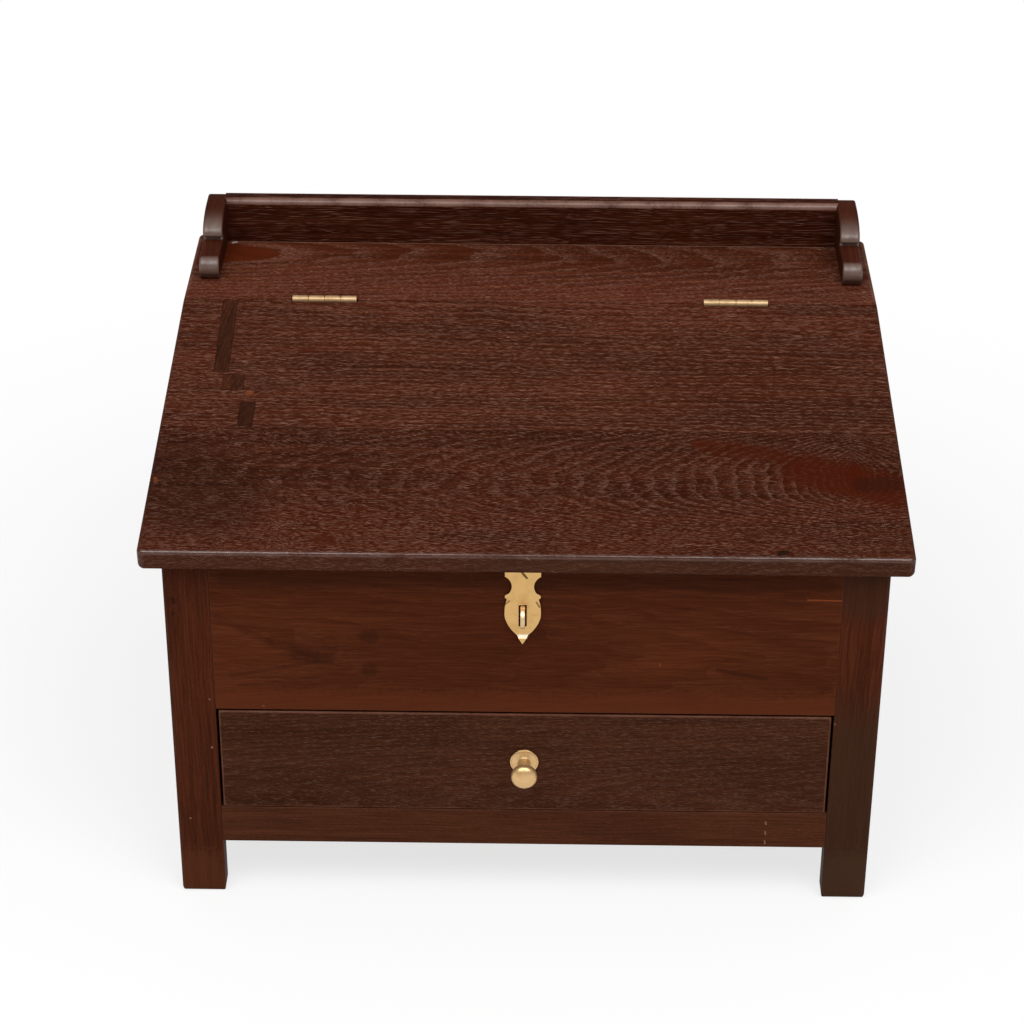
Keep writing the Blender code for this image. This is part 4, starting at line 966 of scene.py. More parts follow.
LID_FRONT_MARKS = (
    (ORANGE, (-0.2710, -0.1295, 0.3235), (-0.2700, -0.1330, 0.3230), 0.0022, 0.7),
    (DARK_AND_PAINTED_SHADE, (0.1790, -0.2090, 0.3140), (0.1835, -0.2080, 0.3140), 0.0030, 0.9),
    (LID_RED, (0.2050, -0.1120, 0.3256), (0.2650, -0.1350, 0.3229), 0.0280, 0.8),
    (LID_RED, (0.1300, -0.0830, 0.3291), (0.1850, -0.0950, 0.3277), 0.0110, 0.6),
    (DARK_AND_PAINTED_SHADE, (0.2450, -0.1290, 0.3236), (0.2660, -0.1275, 0.3238), 0.0120, 0.4),
    (LID_RED, (-0.1450, -0.1997, 0.3150), (-0.1425, -0.1997, 0.3150), 0.0090, 0.6),
    (DARK_AND_PAINTED_SHADE, (-0.2600, -0.1250, 0.3240), (-0.2350, -0.1550, 0.3204), 0.0600, 0.30),
    (PALE, (-0.0006, -0.2150, 0.3121), (0.0110, -0.2150, 0.3030), 0.0005, 0.5),
    (PALE, (0.0110, -0.2150, 0.3030), (0.0214, -0.2133, 0.2981), 0.0005, 0.5),
)
LID_BACK_MARKS = ((ORANGE, (-0.2125, -0.0215, 0.3366), (-0.2105, -0.0225, 0.3365), 0.0034, 0.45),)
PATCH_MARKS = ((DARK_AND_PAINTED_SHADE, (-0.2115, -0.035, 0.335), (-0.2125, -0.062, 0.332), 0.0160, 0.50),)
GLUE_LINE = GALLERY_LOW.y - GLUE_WIDTH
LEDGE_MARKS = marks_on(
    on_ledge,
    (PALE, -0.240, GLUE_LINE, 0.240, GLUE_LINE, 0.0007, 0.35),
    (GLUE, -0.2455, 0.2085, -0.2430, 0.2098, 0.0018, 0.85),
)
FRONT_MARKS = marks_on(
    on_front,
    (ORANGE, 0.2020, 0.2694, 0.2263, 0.2689, 0.0007, 0.8),
    (DARK_AND_PAINTED_SHADE, -0.1150, 0.2336, -0.1110, 0.2336, 0.0072, 0.36),
    (DARK_AND_PAINTED_SHADE, -0.1145, 0.2042, -0.1115, 0.2042, 0.0066, 0.36),
    (DARK_AND_PAINTED_SHADE, -0.2220, 0.2490, -0.1850, 0.2285, 0.0036, 0.22),
    (DARK_AND_PAINTED_SHADE, -0.1850, 0.2285, -0.1520, 0.2175, 0.0052, 0.26),
    (DARK_AND_PAINTED_SHADE, -0.1660, 0.2165, -0.1420, 0.2145, 0.0062, 0.30),
    (DARK_AND_PAINTED_SHADE, -0.2140, 0.1985, -0.1750, 0.2065, 0.0020, 0.25),
    (DARK_AND_PAINTED_SHADE, -0.1750, 0.2065, -0.1500, 0.2125, 0.0024, 0.25),
    (DARK_AND_PAINTED_SHADE, -0.2080, 0.1900, -0.1500, 0.1990, 0.0016, 0.20),
    (DARK_AND_PAINTED_SHADE, 0.1400, 0.2080, 0.1750, 0.2010, 0.0022, 0.4),
    (ORANGE, 0.0979, 0.2110, 0.0979, 0.2130, 0.0008, 0.6),
    (PALE, -0.1925, 0.1720, -0.1910, 0.1720, 0.0008, 0.45),
    # Painted shadow: a dark band along the panel's top, under the lid's overhang
    (DARK_AND_PAINTED_SHADE, -0.2150, 0.2815, 0.2150, 0.2815, 0.0080, 0.25),
    (WARM, -0.2200, PANEL_LOW.z, 0.2200, PANEL_LOW.z, 0.0240, 0.55),
)
LEG_MARKS = marks_on(
    on_front,
    (PALE, -0.2310, 0.1776, -0.2310, 0.1770, 0.0008, 0.4),
    (PALE, -0.2314, 0.1346, -0.2314, 0.1340, 0.0009, 0.6),
    (PALE, -0.2510, 0.0689, -0.2505, 0.0689, 0.0008, 0.6),
    (PALE, 0.2279, 0.1618, 0.2279, 0.1612, 0.0009, 0.6),
    (DARK_AND_PAINTED_SHADE, -0.2532, 0.2640, -0.2530, 0.2620, 0.0026, 0.5),
    (DARK_AND_PAINTED_SHADE, -0.2534, 0.2525, -0.2534, 0.2515, 0.0022, 0.5),
    # Darker and greyer towards the foot of the right leg
    (LEG_DARK_AND_PAINTED_SHADE, 0.2470, 0.0950, 0.2470, 0.0200, 0.1100, 0.72),
    # Painted shadow at the right leg's top, under the lid's overhang
    (LEG_DARK_AND_PAINTED_SHADE, 0.2470, 0.2900, 0.2470, 0.2780, 0.0350, 0.50),
    (LEFT_FOOT, -0.2470, 0.0100, -0.2470, 0.0000, 0.0400, 0.5),
    (RIGHT_FOOT, 0.2470, 0.0150, 0.2470, 0.0000, 0.0400, 0.5),
)
RAIL_MARKS = marks_on(
    on_front,
    *((PALE, 0.1815, z, 0.1820, z - 0.0025, 0.0008, 0.5) for z in (0.0716, 0.0627, 0.0538)),
)
HASP_MARKS = marks_on(
    on_hasp,
    (NICK, -0.0008, 0.0060, 0.0028, 0.0106, 0.0011, 0.85),
    (NICK, -0.0130, 0.0336, -0.0097, 0.0302, 0.0008, 0.60),
    (NICK, 0.0098, 0.0310, 0.0120, 0.0350, 0.0009, 0.75),
    # Painted highlight: a pale band along the hasp's bend
    (GLINT, -0.0040, BEND_DROP + 0.0010, 0.0040, BEND_DROP + 0.0010, 0.0024, 0.8),
)
KNUCKLES = [middle + along for middle in HINGE_MIDDLES for along in (-KNUCKLE_STEP, 0.0, KNUCKLE_STEP)]
# Painted shade and reflection: dark copper bands over the hinge barrels at the knuckles' seams
KNUCKLE_MARKS = marks_on(on_hinge, *((SEAM_PAINTED_SHADE, x, 0.0015, x, 0.004, 0.0020, 0.85) for x in KNUCKLES))

LID_FRONT_WOOD = wood(
    "lid front wood", LID_FRONT_TONES, pith=(0.240, -0.118, 0.3251), lean=0.26, ring=0.0052, bow=0.5,
    straighten=400.0, waver=0.010, heart=0.026, heart_fade=0.45, pore=(0.0065, 0.00050), share=0.50,
    banding=0.75, ring_reach=0.55, rings=0.5, clouds=0.6, polish=1.0, satin=0.12,
    front=(LID_EDGE_TONE, 0.60, (0.95, 0.70), (-0.5, -0.6)), marks=LID_FRONT_MARKS)
LID_BACK_WOOD = wood(
    "lid back wood", TOP_TONES, pith=(0.30, 0.170, 0.250), lean=0.03, ring=0.0040, waver=0.008,
    pore=(0.0075, 0.00052), share=0.58, rings=0.5, clouds=0.6, smears=0.7, marks=LID_BACK_MARKS)
LEDGE_WOOD = wood(
    "ledge wood", LEDGE_TONES, pith=(-0.57, 0.190, 0.352), lean=0.10, ring=0.0052, heart=0.0377, share=0.50,
    rings=0.43, clouds=0.7, rubbed=0.4, marks=LEDGE_MARKS)
# A high rubbed share: worn arrises, and along the top's front round partly a painted highlight
GALLERY_WOOD = wood(
    "gallery wood", GALLERY_TONES, "X upright", (0.1, 0.30, 0.24), pore=(0.026, 0.0006), share=0.50,
    rings=0.6, rubbed=0.75, polish=1.0, satin=0.32)
# The front tone lays the painted sheen over the lobes and the nose
BRACKET_WOOD = wood(
    "bracket wood", BRACKET_TONES, "Y", (0.1, 0.0, 0.30), 0.05, share=0.3, open_pores=0.5, rubbed=0.0,
    sheen=2.0, polish=0.0, satin=0.34, front=(BRACKET_PAINTED_SHEEN, 0.85, (0.65, 0.05), (-0.2, -0.75)))
FRONT_WOOD = wood(
    "front panel wood", FRONT_TONES, "X upright", (-1.23, 0.2125, FRONT), 0.07, 0.0060, waver=0.010,
    heart=0.0745, pore=(0.012, 0.0007), share=0.15, open_pores=0.6, streaks=0.45, rings=0.4, clouds=0.8,
    smears=0.25, marks=FRONT_MARKS)
SIDE_WOOD = wood(
    "side panel wood", FRONT_TONES, "Y", (-0.3, 0.34, 0.22), 0.06, 0.0060, pore=(0.012, 0.0007), share=0.25,
    open_pores=0.6, streaks=0.7, rings=0.5, clouds=0.8)
RAIL_WOOD = wood(
    "rail wood", RAIL_TONES, "X upright", (0.2, 0.10, -0.16), 0.03, share=0.3, open_pores=0.6, streaks=0.6,
    marks=RAIL_MARKS)
LEG_WOOD = wood(
    "leg wood", LEG_TONES, "Z", (0.02, 0.05, -0.05), 0.08, 0.0028, share=0.3, open_pores=0.6, streaks=0.8,
    marks=LEG_MARKS)
# A high rubbed share: a worn top arris, partly a painted highlight line along it
DRAWER_WOOD = wood(
    "drawer front wood", DRAWER_TONES, "X upright", (0.5, 0.09, -0.26), 0.05, pore=(0.006, 0.0006),
    share=0.55, open_pores=0.8, streaks=0.8, rubbed=0.8, polish=0.4)
INNER_WOOD = wood("bare inner wood", INNER_TONES, "Y", (0.1, 0.0, 0.02), 0.04, share=0.3, open_pores=0.5)
FLOOR_WOOD = wood("bare floor wood", INNER_TONES, "X", (0.1, 0.0, 0.02), 0.04, share=0.3, open_pores=0.5)
PATCH_WOOD = wood(
    "patch wood", PATCH_TONES, "Y", (0.1, -0.2, 0.30), share=0.35, open_pores=0.6, marks=PATCH_MARKS)
# How finely brass is rubbed along each axis: along X, round the knob, and along Z
RUBBED_X = (90.0, 900.0, 900.0)
RUBBED_ROUND = (500.0, 900.0, 500.0)
RUBBED_Z = (900.0, 900.0, 90.0)
SATIN_BRASS = brass(
    "satin sheet brass", (0.68, 0.42, 0.165), (0.61, 0.365, 0.135), RUBBED_Z, 0.22, 0.10, HASP_MARKS)
# The staple's brass is paler than the hasp's: painted light for the brighter reflections on its strap
STAPLE_PAINTED_LIGHT_BRASS = brass("staple brass painted lighter", (0.80, 0.60, 0.36), (0.70, 0.48, 0.26), RUBBED_Z, 0.36, 0.10)
KNOB_BRASS = brass(
    "polished knob brass", (0.70, 0.455, 0.215), (0.62, 0.38, 0.16), RUBBED_ROUND, 0.28, 0.10, bare=0.76)
HINGE_BRASS = brass(
    "hinge brass", (0.47, 0.315, 0.168), (0.37, 0.225, 0.105), RUBBED_X, 0.30, 0.12, KNUCKLE_MARKS, 0.70)


# Pieces of wood


def lay_lid():
    """The lid's two boards: plans carried up their rounded edges, with beds for patches, hinges and hasp."""
    joint = FRONT_BOARD - FIT_GAP / 10
    near_joint = joint - 2 * CORNER_ROUND
    near_front = 7 * CORNER_ROUND
    plan = rounded_plan([
        (-TOP_HALF, 0.0, CORNER_ROUND, 1, 1),
        (TOP_HALF, 0.0, CORNER_ROUND, 1, 1),
        (TOP_HALF, near_front, 0, SIDE_WEAR, 1),
        (TOP_HALF, near_joint, 0, SIDE_WEAR, 1),
        (TOP_HALF, joint, 0, 0, JOINT_SHARE),
        (-TOP_HALF, joint, 0, 0, 1),
        (-TOP_HALF, near_joint, 0, SIDE_WEAR, 1),
        (-TOP_HALF, near_front, 0, SIDE_WEAR, 1),
    ])
    levels = edge_levels(LID_THICKNESS, UNDER_ROUND, TOP_ROUND, FADE, UNDER_FRONT_ROUND)
    pin = (LID_PLACE.inverted() @ HASP_AXIS).y
    half = HASP_WIDTH / 2 + 2 * FIT_GAP
    bed = rectangle(HASP_AXIS.x - half, pin - HASP_KNUCKLE - FIT_GAP,
                    HASP_AXIS.x + half, pin + HASP_LEAF_LENGTH + FIT_GAP)
    shell = lofted(*carry(plan, levels), LID_PLACE, [bed], (), HASP_SHEET + FIT_GAP)
    add_piece("lid_front_shaped", [shell], LID_FRONT_WOOD, "top_wood", "lid", "lid_board_front")

    joint = FRONT_BOARD + FIT_GAP / 10
    near_joint = joint + 2 * CORNER_ROUND
    near_back = LID_LENGTH - 2 * CORNER_ROUND
    plan = rounded_plan([
        (-TOP_HALF, joint, 0, 0, JOINT_SHARE),
        (TOP_HALF, joint, 0, 0, 1),
        (TOP_HALF, near_joint, 0, SIDE_WEAR, 1),
        (TOP_HALF, near_back, 0, SIDE_WEAR, 1),
        *hinge_edge(LID_LENGTH, -1),
        (-TOP_HALF, near_back, 0, SIDE_WEAR, 1),
        (-TOP_HALF, near_joint, 0, SIDE_WEAR, 1),
    ])
    levels = stepped_levels(edge_levels(LID_THICKNESS, UNDER_ROUND, TOP_ROUND))
    loops, wear = carry(plan, levels)
    floor = np.abs(plan["corner"][:, 1] - LID_LENGTH + BARREL_RADIUS) < FIT_GAP
    loops[:, floor, 1] = LID_LENGTH - bed_depths(levels)[:, None]
    raked = plan["corner"][:, 1] > near_back + FIT_GAP
    loops[:, raked, 1] += loops[:, raked, 2] * math.tan(LID_SLOPE)
    pockets = []
    for from_end, width, from_back, length, turn in PATCHES:
        middle = np.array((from_end - TOP_HALF, LID_LENGTH - from_back - length / 2))
        side, end = width / 2 + FIT_GAP, length / 2 + FIT_GAP
        turning = np.array(((math.cos(turn), math.sin(turn)), (-math.sin(turn), math.cos(turn))))
        pockets.append(middle + rectangle(-side, -end, side, end) @ turning)
    shell = lofted(loops, wear, LID_PLACE, (), pockets, PATCH_SINK)
    add_piece("lid_back_shaped", [shell], LID_BACK_WOOD, "top_wood", "lid", "lid_board_back")


def hinge_edge(edge, way):
    """Corners of an edge with a bed for each hinge, from right to left (way -1) or left to right (1)."""
    half = HINGE_LENGTH / 2 + 2 * FIT_GAP
    floor = edge + way * BARREL_RADIUS
    corners = [(-way * TOP_HALF, edge, 0, EDGE_END_WEAR, JOINT_SHARE)]
    for middle in HINGE_MIDDLES[::way]:
        first, last = middle - way * half, middle + way * half
        corners += [
            (first, edge, 0, BED_WEAR, JOINT_SHARE),
            (first, floor, 0, 0, JOINT_SHARE),
            (last, floor, 0, 0, JOINT_SHARE),
            (last, edge, 0, BED_WEAR, JOINT_SHARE),
        ]
    return corners + [(way * TOP_HALF, edge, 0, EDGE_END_WEAR, 1)]


def stepped_levels(levels):
    """The levels of an edge, with an unworn one on either side of each height where a hinge bed changes."""
    changes = (-BARREL_RADIUS - FIT_GAP, -LEAF_DROP)
    heights = [height + side * FIT_GAP / 4 for height in changes for side in (-1, 1)]
    insets = [np.interp(heights, levels[:, 0], levels[:, column]) for column in (1, 2)]
    mixed = np.concatenate((levels, np.column_stack((heights, *insets, np.zeros(len(heights))))))
    return mixed[np.argsort(mixed[:, 0], kind="stable")]


def bed_depths(levels):
    """How far a hinge's bed goes in at each level: deep round the barrel, shallow behind the leaf."""
    height = levels[:, 0]
    shallow = np.where(height > -LEAF_DROP, LEAF_BED - LID_SEAM / 2, FIT_GAP / 10)
    return np.where(height > -BARREL_RADIUS - FIT_GAP, BARREL_RADIUS + FIT_GAP - LID_SEAM / 2, shallow)


def lay_ledge():
    """The ledge: a plan with rounded back corners and hinge beds in front, carried up its rounded edges."""
    near, far = LEDGE_LOW.y, LEDGE_HIGH.y
    plan = rounded_plan([
        *hinge_edge(near, 1),
        (TOP_HALF, near + 2 * CORNER_ROUND, 0, 1, 1),
        (TOP_HALF, far, CORNER_ROUND, 1, 1),
        (-TOP_HALF, far, CORNER_ROUND, 1, 1),
        (-TOP_HALF, near + 2 * CORNER_ROUND, 0, 1, 1),
    ])
    levels = stepped_levels(edge_levels(LID_THICKNESS, UNDER_ROUND, TOP_ROUND, FADE, UNDER_FRONT_ROUND))
    loops, wear = carry(plan, levels)
    floor = np.abs(plan["corner"][:, 1] - near - BARREL_RADIUS) < FIT_GAP
    loops[:, floor, 1] = near + bed_depths(levels)[:, None]
    shell = lofted(loops, wear, Matrix.Translation((0, 0, LEDGE_TOP)))
    add_piece("ledge_shaped", [shell], LEDGE_WOOD, "top_wood", "carcass", "ledge_board")


def bracket_outline():
    """Side view of a gallery bracket as (forward of its back, up from the ledge), counter-clockwise.

    A flat top falls in a quarter ellipse to a rounded lip, cuts back under it to a notch, and runs out over
    a lower arm to a bull nose whose foot is drawn in a little.
    """
    height = GALLERY_HIGH.z - GALLERY_LOW.z
    nose = (NOSE_REACH - NOSE_RADIUS, height / 2 - NOSE_RADIUS)
    brow = ((BRACKET_FLAT, height - LIP_DROP), (LIP_REACH - BRACKET_FLAT, LIP_DROP))
    return np.concatenate((
        ((0.0, 0.0), (NOSE_REACH - NOSE_FOOT, 0.0)),
        circle(nose, NOSE_RADIUS, -NOSE_UNDERCUT, 90, FINE_STEPS),
        circle((NOTCH_REACH, height / 2 + NOTCH_RADIUS), NOTCH_RADIUS, -90, -90 - NOTCH_SWEEP),
        circle((LIP_REACH - LIP_RADIUS, height - LIP_DROP), LIP_RADIUS, -LIP_UNDERCUT, 0),
        arc(*brow, 0, 90, FINE_STEPS)[1:],
        circle((BRACKET_BACK_ROUND, height - BRACKET_BACK_ROUND), BRACKET_BACK_ROUND, 90, 180),
    ))


def raise_gallery():
    """The gallery's rail, an outline carried endwise, and its two brackets, side views carried across."""
    front, back, foot, top = GALLERY_LOW.y, GALLERY_HIGH.y, GALLERY_LOW.z, GALLERY_HIGH.z
    plan = rounded_plan([
        (front, foot, 0, 0, 1),
        (back, foot, 0, 0, 1),
        (back, top, GALLERY_BACK_ROUND, 1, 1),
        (front, top, GALLERY_FRONT_ROUND, 1, 1),
    ])
    length = GALLERY_HIGH.x - GALLERY_LOW.x + 2 * BRACKET_EASE
    loops, wear = carry(plan, edge_levels(length, FIT_GAP, FIT_GAP, NO_FADE))
    place = Matrix.Translation((GALLERY_HIGH.x + BRACKET_EASE, 0, 0)) @ ENDWISE
    shell = lofted(loops, np.minimum(wear, plan["own_wear"][None, :]), place)
    add_piece("gallery_rail_shaped", [shell], GALLERY_WOOD, "top_wood", "carcass", "gallery_back")
    plan = drawn_plan((bracket_outline() * (-1, 1) + (BACK, foot))[::-1])
    for bracket in [f"bracket_{side}" for side in SIDES]:
        low, high = corners_of(f"gallery_{bracket}")
        loops, wear = carry(plan, edge_levels(high.x - low.x, BRACKET_EASE, BRACKET_EASE, BRACKET_FADE))
        loops[:, :, 1] = np.maximum(loops[:, :, 1], foot)
        shell = lofted(loops, wear, Matrix.Translation((high.x, 0, 0)) @ ENDWISE)
        add_piece(f"{bracket}_shaped", [shell], BRACKET_WOOD, "top_wood", "carcass", f"gallery_{bracket}")


def stand_legs():
    """Four legs: plans with the outer corner eased, carried up from a rounded foot and cut under the top."""
    for leg in [f"leg_{end}_{side}" for end in ("front", "back") for side in SIDES]:
        low, high = corners_of(leg)
        outer_x, outer_y = (max(pair, key=abs) for pair in ((low.x, high.x), (low.y, high.y)))
        corners = []
        for x, y in rectangle(low.x, low.y, high.x, high.y):
            outer = x == outer_x and y == outer_y
            corners.append((x, y, LEG_EASE if outer else INNER_EASE, 1 if outer else INNER_WEAR, 1))
        foot = arc((0, 0), (FOOT_ROUND, FOOT_RISE), 90, 0)
        rows = [(low.z, FOOT_ROUND + away, FOOT_ROUND + away, FOOT_WEAR) for away in FOOT_INSETS]
        rows += [(low.z + FOOT_RISE - rise, FOOT_ROUND - out, FOOT_ROUND - out, 1) for out, rise in foot]
        rows += [(low.z + FOOT_RISE + away, 0, 0, left) for away, left in FADE]
        rows += [((low.z + high.z) / 2, 0, 0, 0), (high.z, 0, 0, 0)]
        loops, wear = carry(rounded_plan(corners), np.array(rows, dtype=float))
        loops[-1, :, 2] = np.minimum(loops[-1, :, 2], under_lid(loops[-1, :, 1]))
        add_piece(f"{leg}_shaped", [lofted(loops, wear)], LEG_WOOD, "leg_wood", "carcass", leg)


def under_lid(y):
    """Height just below the lid's lower face at distances y from front to back, or the ledge's behind it."""
    sloping = lid_top(y) - LID_THICKNESS / math.cos(LID_SLOPE)
    return np.where(y > LID_AXIS.y, LEDGE_LOW.z, sloping) - FIT_GAP


def fit_front():
    """Front panel, rail and drawer front: upright plans carried from back to front over eased edges."""
    place = Matrix.Translation((0, FRONT, 0)) @ STANDING
    boards = (
        ("panel", PANEL_LOW, PANEL_HIGH, BOARD_EASE, FRONT_WOOD),
        ("rail", RAIL_LOW, RAIL_HIGH, RAIL_EASE, RAIL_WOOD),
    )
    for name, low, high, easing, finish in boards:
        plan = square_plan(rectangle(-LEG_INNER, low.z, LEG_INNER, high.z), easing)
        levels = edge_levels(high.y - FRONT, BOARD_EASE, easing, SHORT_FADE)
        shell = lofted(*carry(plan, levels), place)
        shell[0][:, 2] = np.minimum(shell[0][:, 2], under_lid(shell[0][:, 1]))
        add_piece(f"{name}_shaped", [shell], finish, "front_wood", "carcass", f"front_{name}")
    half = DRAWER_HIGH.x
    plan = square_plan(rectangle(-half, DRAWER_LOW.z, half, DRAWER_HIGH.z), DRAWER_EASE)
    rebate = half - DRAWER_BODY + FIT_GAP
    levels = edge_levels(DRAWER_LAP, FIT_GAP, DRAWER_EASE, SHORT_FADE)
    rows = (
        (FRONT - DRAWER_HIGH.y, rebate, 0, UNDER_WEAR),
        (-DRAWER_LAP - FIT_GAP, rebate, 0, 0),
        (-DRAWER_LAP, 0, 0, DRAWER_LAP_WEAR),
        *levels[levels[:, 0] > FIT_GAP - DRAWER_LAP],
    )
    shell = lofted(*carry(plan, np.array(rows)), place)
    add_piece("drawer_front_shaped", [shell], DRAWER_WOOD, "drawer_wood", "drawer", "drawer_front")


# Pieces of brass


def hasp_outline():
    """Half of the hasp's face as (half width, drop below its pin), from its top corner to its tip.

    The flange runs into a hollow waist, a small ear, a shoulder, and a shield that narrows to a bent tip.
    """
    flange, half = HASP_WIDTH / 2, SHIELD_WIDTH / 2
    waist = WAIST_WIDTH / 2 + WAIST_RADIUS
    swing = math.degrees(math.acos((waist - flange) / WAIST_RADIUS))
    rise = (SHIELD_DROP - SHOULDER_DROP) / 3
    belly = (SHIELD_DROP + BEND_DROP) / 2
    shoulder = (SHOULDER_WIDTH / 2, SHOULDER_DROP)
    shield = (half, SHIELD_DROP)
    bend = (BEND_WIDTH / 2, BEND_DROP)
    return np.concatenate((
        ((flange, HASP_KNUCKLE + FIT_GAP),),
        circle((waist, WAIST_DROP), WAIST_RADIUS, 180 + swing, 180 - swing * WAIST_RETURN, FINE_STEPS),
        circle((flange - EAR_RADIUS, EAR_DROP), EAR_RADIUS, *EAR_SWEEP),
        bezier(shoulder, (half, SHOULDER_DROP + rise), (half, SHIELD_DROP - rise), shield, 2 * ROUND_STEPS),
        bezier(shield, (half, belly - rise), (half * SHIELD_BELLY, belly + rise), bend)[1:],
        np.linspace(bend, (HASP_RIM, TIP_DROP), TIP_POINTS)[1:],
    ))


def cut_sheet(face, step, rows, columns):
    """A closed skin of sheet metal: a grid of points, the same grid a step behind it, and walls between.

    Cells between the two rows and the two columns are left out, with walls round the hole.
    """
    index = np.arange(face.shape[0] * face.shape[1]).reshape(face.shape[:2])
    cells = np.stack((index[:-1, :-1], index[:-1, 1:], index[1:, 1:], index[1:, :-1]), axis=-1)
    kept = np.ones(cells.shape[:2], dtype=bool)
    kept[rows[0]:rows[1], columns[0]:columns[1]] = False
    front = cells[kept]
    faces = [front, front[:, ::-1] + index.size]
    for a, b, c, d in ((0, len(index) - 1, 0, index.shape[1] - 1), (*rows, *columns)):
        ring = np.concatenate((index[a, c:d], index[a:b, d], index[b, d:c:-1], index[b:a:-1, c]))
        after = np.roll(ring, -1)
        faces.append(np.column_stack((ring, after, after + index.size, ring + index.size)))
    points = face.reshape(-1, 3)
    points = np.concatenate((points, points + np.array(step)))
    return points, np.concatenate(faces).tolist(), np.zeros(len(points))


def hang_hasp():
    """The hasp: a slotted sheet in rows across its outline, bent out at the tip, with its knuckle and neck.

    A row's columns keep to the slot's width in the middle and share out the rest of the row evenly.
    """
    half, drop = hasp_outline().T
    top, bottom = SLOT_DROP - SLOT_HALF_HEIGHT, SLOT_DROP + SLOT_HALF_HEIGHT
    drops = np.unique(np.concatenate((drop, (top, bottom, BEND_DROP, BEND_DROP + BEND_BAND))))
    width = np.interp(drops, drop, half)
    inner = np.minimum(SLOT_HALF_WIDTH, SLOT_SHARE * width)
    side = inner[:, None] + (width - inner)[:, None] * np.linspace(0, 1, HASP_COLUMNS)
    across = np.concatenate((-side[:, ::-1], np.zeros((len(drops), 1)), side), axis=1)
    kick = np.clip(drops - BEND_DROP, 0, BEND_BAND) * BEND_KICK
    down = np.broadcast_to(-drops[:, None], across.shape)
    depth = np.broadcast_to((HASP_BORE - kick)[:, None], across.shape)
    face = np.stack((across, depth, down), axis=-1) + np.array(HASP_AXIS)
    rows = [int(np.argmin(np.abs(drops - height))) for height in (top, bottom)]
    plate = cut_sheet(face, (0, HASP_SHEET, 0), rows, (HASP_COLUMNS - 1, HASP_COLUMNS + 1))
    third = HASP_WIDTH / 3 - FIT_GAP
    profile = rectangle(-third / 2, HASP_KNUCKLE, third / 2, HASP_BORE)
    knuckle = ringed(*unworn(turned(profile, HASP_AXIS, (1, 0, 0), KNUCKLE_SIDES)))
    tab = third / 2 - FIT_GAP
    plan = square_plan(rectangle(-tab, -HASP_KNUCKLE - 2 * FIT_GAP, tab, 0.0), 0, 0)
    place = Matrix.Translation(HASP_AXIS + Vector((0, HASP_BORE, 0))) @ STANDING
    neck = lofted(*carry(plan, edge_levels(HASP_SHEET, HASP_RIM / 3, HASP_RIM / 3, NO_FADE)), place)
    piece = add_piece("hasp_shaped", [plate, knuckle, neck], SATIN_BRASS, "brass", "hasp", "hasp_plate")
    easing = piece.modifiers.new("eased rim", "BEVEL")
    easing.width = HASP_RIM
    easing.segments = 2
    easing.limit_method = "ANGLE"
    easing.angle_limit = HASP_RIM_ANGLE


def drive_staple():
    """The staple: a strap's eased section carried along a shank, round a half circle and along the other."""
    middle = HASP_AXIS.z - SLOT_DROP
    radius = STAPLE_RADIUS - STAPLE_STRAP / 2
    bend = FRONT - (STAPLE_REACH - STAPLE_RADIUS)
    end = FRONT + STAPLE_SHANK
    turns = (90, 270, 6 * ROUND_STEPS)
    path = np.concatenate((
        ((end, middle + radius),),
        circle((bend, middle), radius, *turns),
        ((end, middle - radius),),
    ))
    outward = np.concatenate((((0.0, 1.0),), circle((0, 0), 1, *turns), ((0.0, -1.0),)))
    wide, high = STAPLE_WIDTH / 2 - STAPLE_EASE, STAPLE_STRAP / 2 - STAPLE_EASE
    spots = ((wide, high, 0), (-wide, high, 90), (-wide, -high, 180), (wide, -high, 270))
    rounds = [circle((x, y), STAPLE_EASE, start, start + 90, STRAP_STEPS) for x, y, start in spots]
    section = np.concatenate(rounds)
    spread = path[:, None, :] + outward[:, None, :] * section[None, :, 1, None]
    across = np.broadcast_to(HASP_AXIS.x + section[:, 0], spread.shape[:2])
    loops = np.concatenate((across[:, :, None], spread), axis=-1)
    add_piece("staple_bent", [lofted(*unworn(loops))], STAPLE_PAINTED_LIGHT_BRASS, "brass", "carcass", "staple")


def screw_knob():
    """The knob: a profile of rose, trumpet neck and button head turned about its axis, with a blind bore."""
    low, high = corners_of("knob")
    seat = Vector(((low.x + high.x) / 2, high.y, (low.z + high.z) / 2))
    rim = ROSE_THICKNESS / 3
    meeting = 180 - math.degrees(math.asin(NECK_RADIUS / HEAD_RADIUS))
    behind = HEAD_REACH + HEAD_BACK * math.cos(math.radians(meeting))
    leave = (NECK_LEAVE[0] * NECK_REACH, NECK_LEAVE[1] * NECK_FLARE)
    arrive = (NECK_ARRIVE[0] * NECK_REACH, NECK_ARRIVE[1] * NECK_RADIUS)
    profile = np.concatenate((
        ((KNOB_BORE, KNOB_BORE_RADIUS), (0.0, KNOB_BORE_RADIUS), (0.0, ROSE_RADIUS - rim / 2)),
        circle((rim, ROSE_RADIUS - rim), rim, -ROSE_UNDERCUT, 90, 2 * ROUND_STEPS),
        bezier((ROSE_THICKNESS, NECK_FLARE), leave, arrive, (behind, NECK_RADIUS)),
        arc((HEAD_REACH, 0), (HEAD_BACK, HEAD_RADIUS), meeting, 90, FINE_STEPS)[1:],
        arc((HEAD_REACH, 0), (KNOB_REACH - HEAD_REACH, HEAD_RADIUS), 90, HEAD_CLOSING, 4 * ROUND_STEPS)[1:],
    ))
    shell = lofted(*unworn(turned(profile, seat, (0, -1, 0), KNOB_SIDES)))
    add_piece("knob_turned", [shell], KNOB_BRASS, "brass", "drawer", "knob")


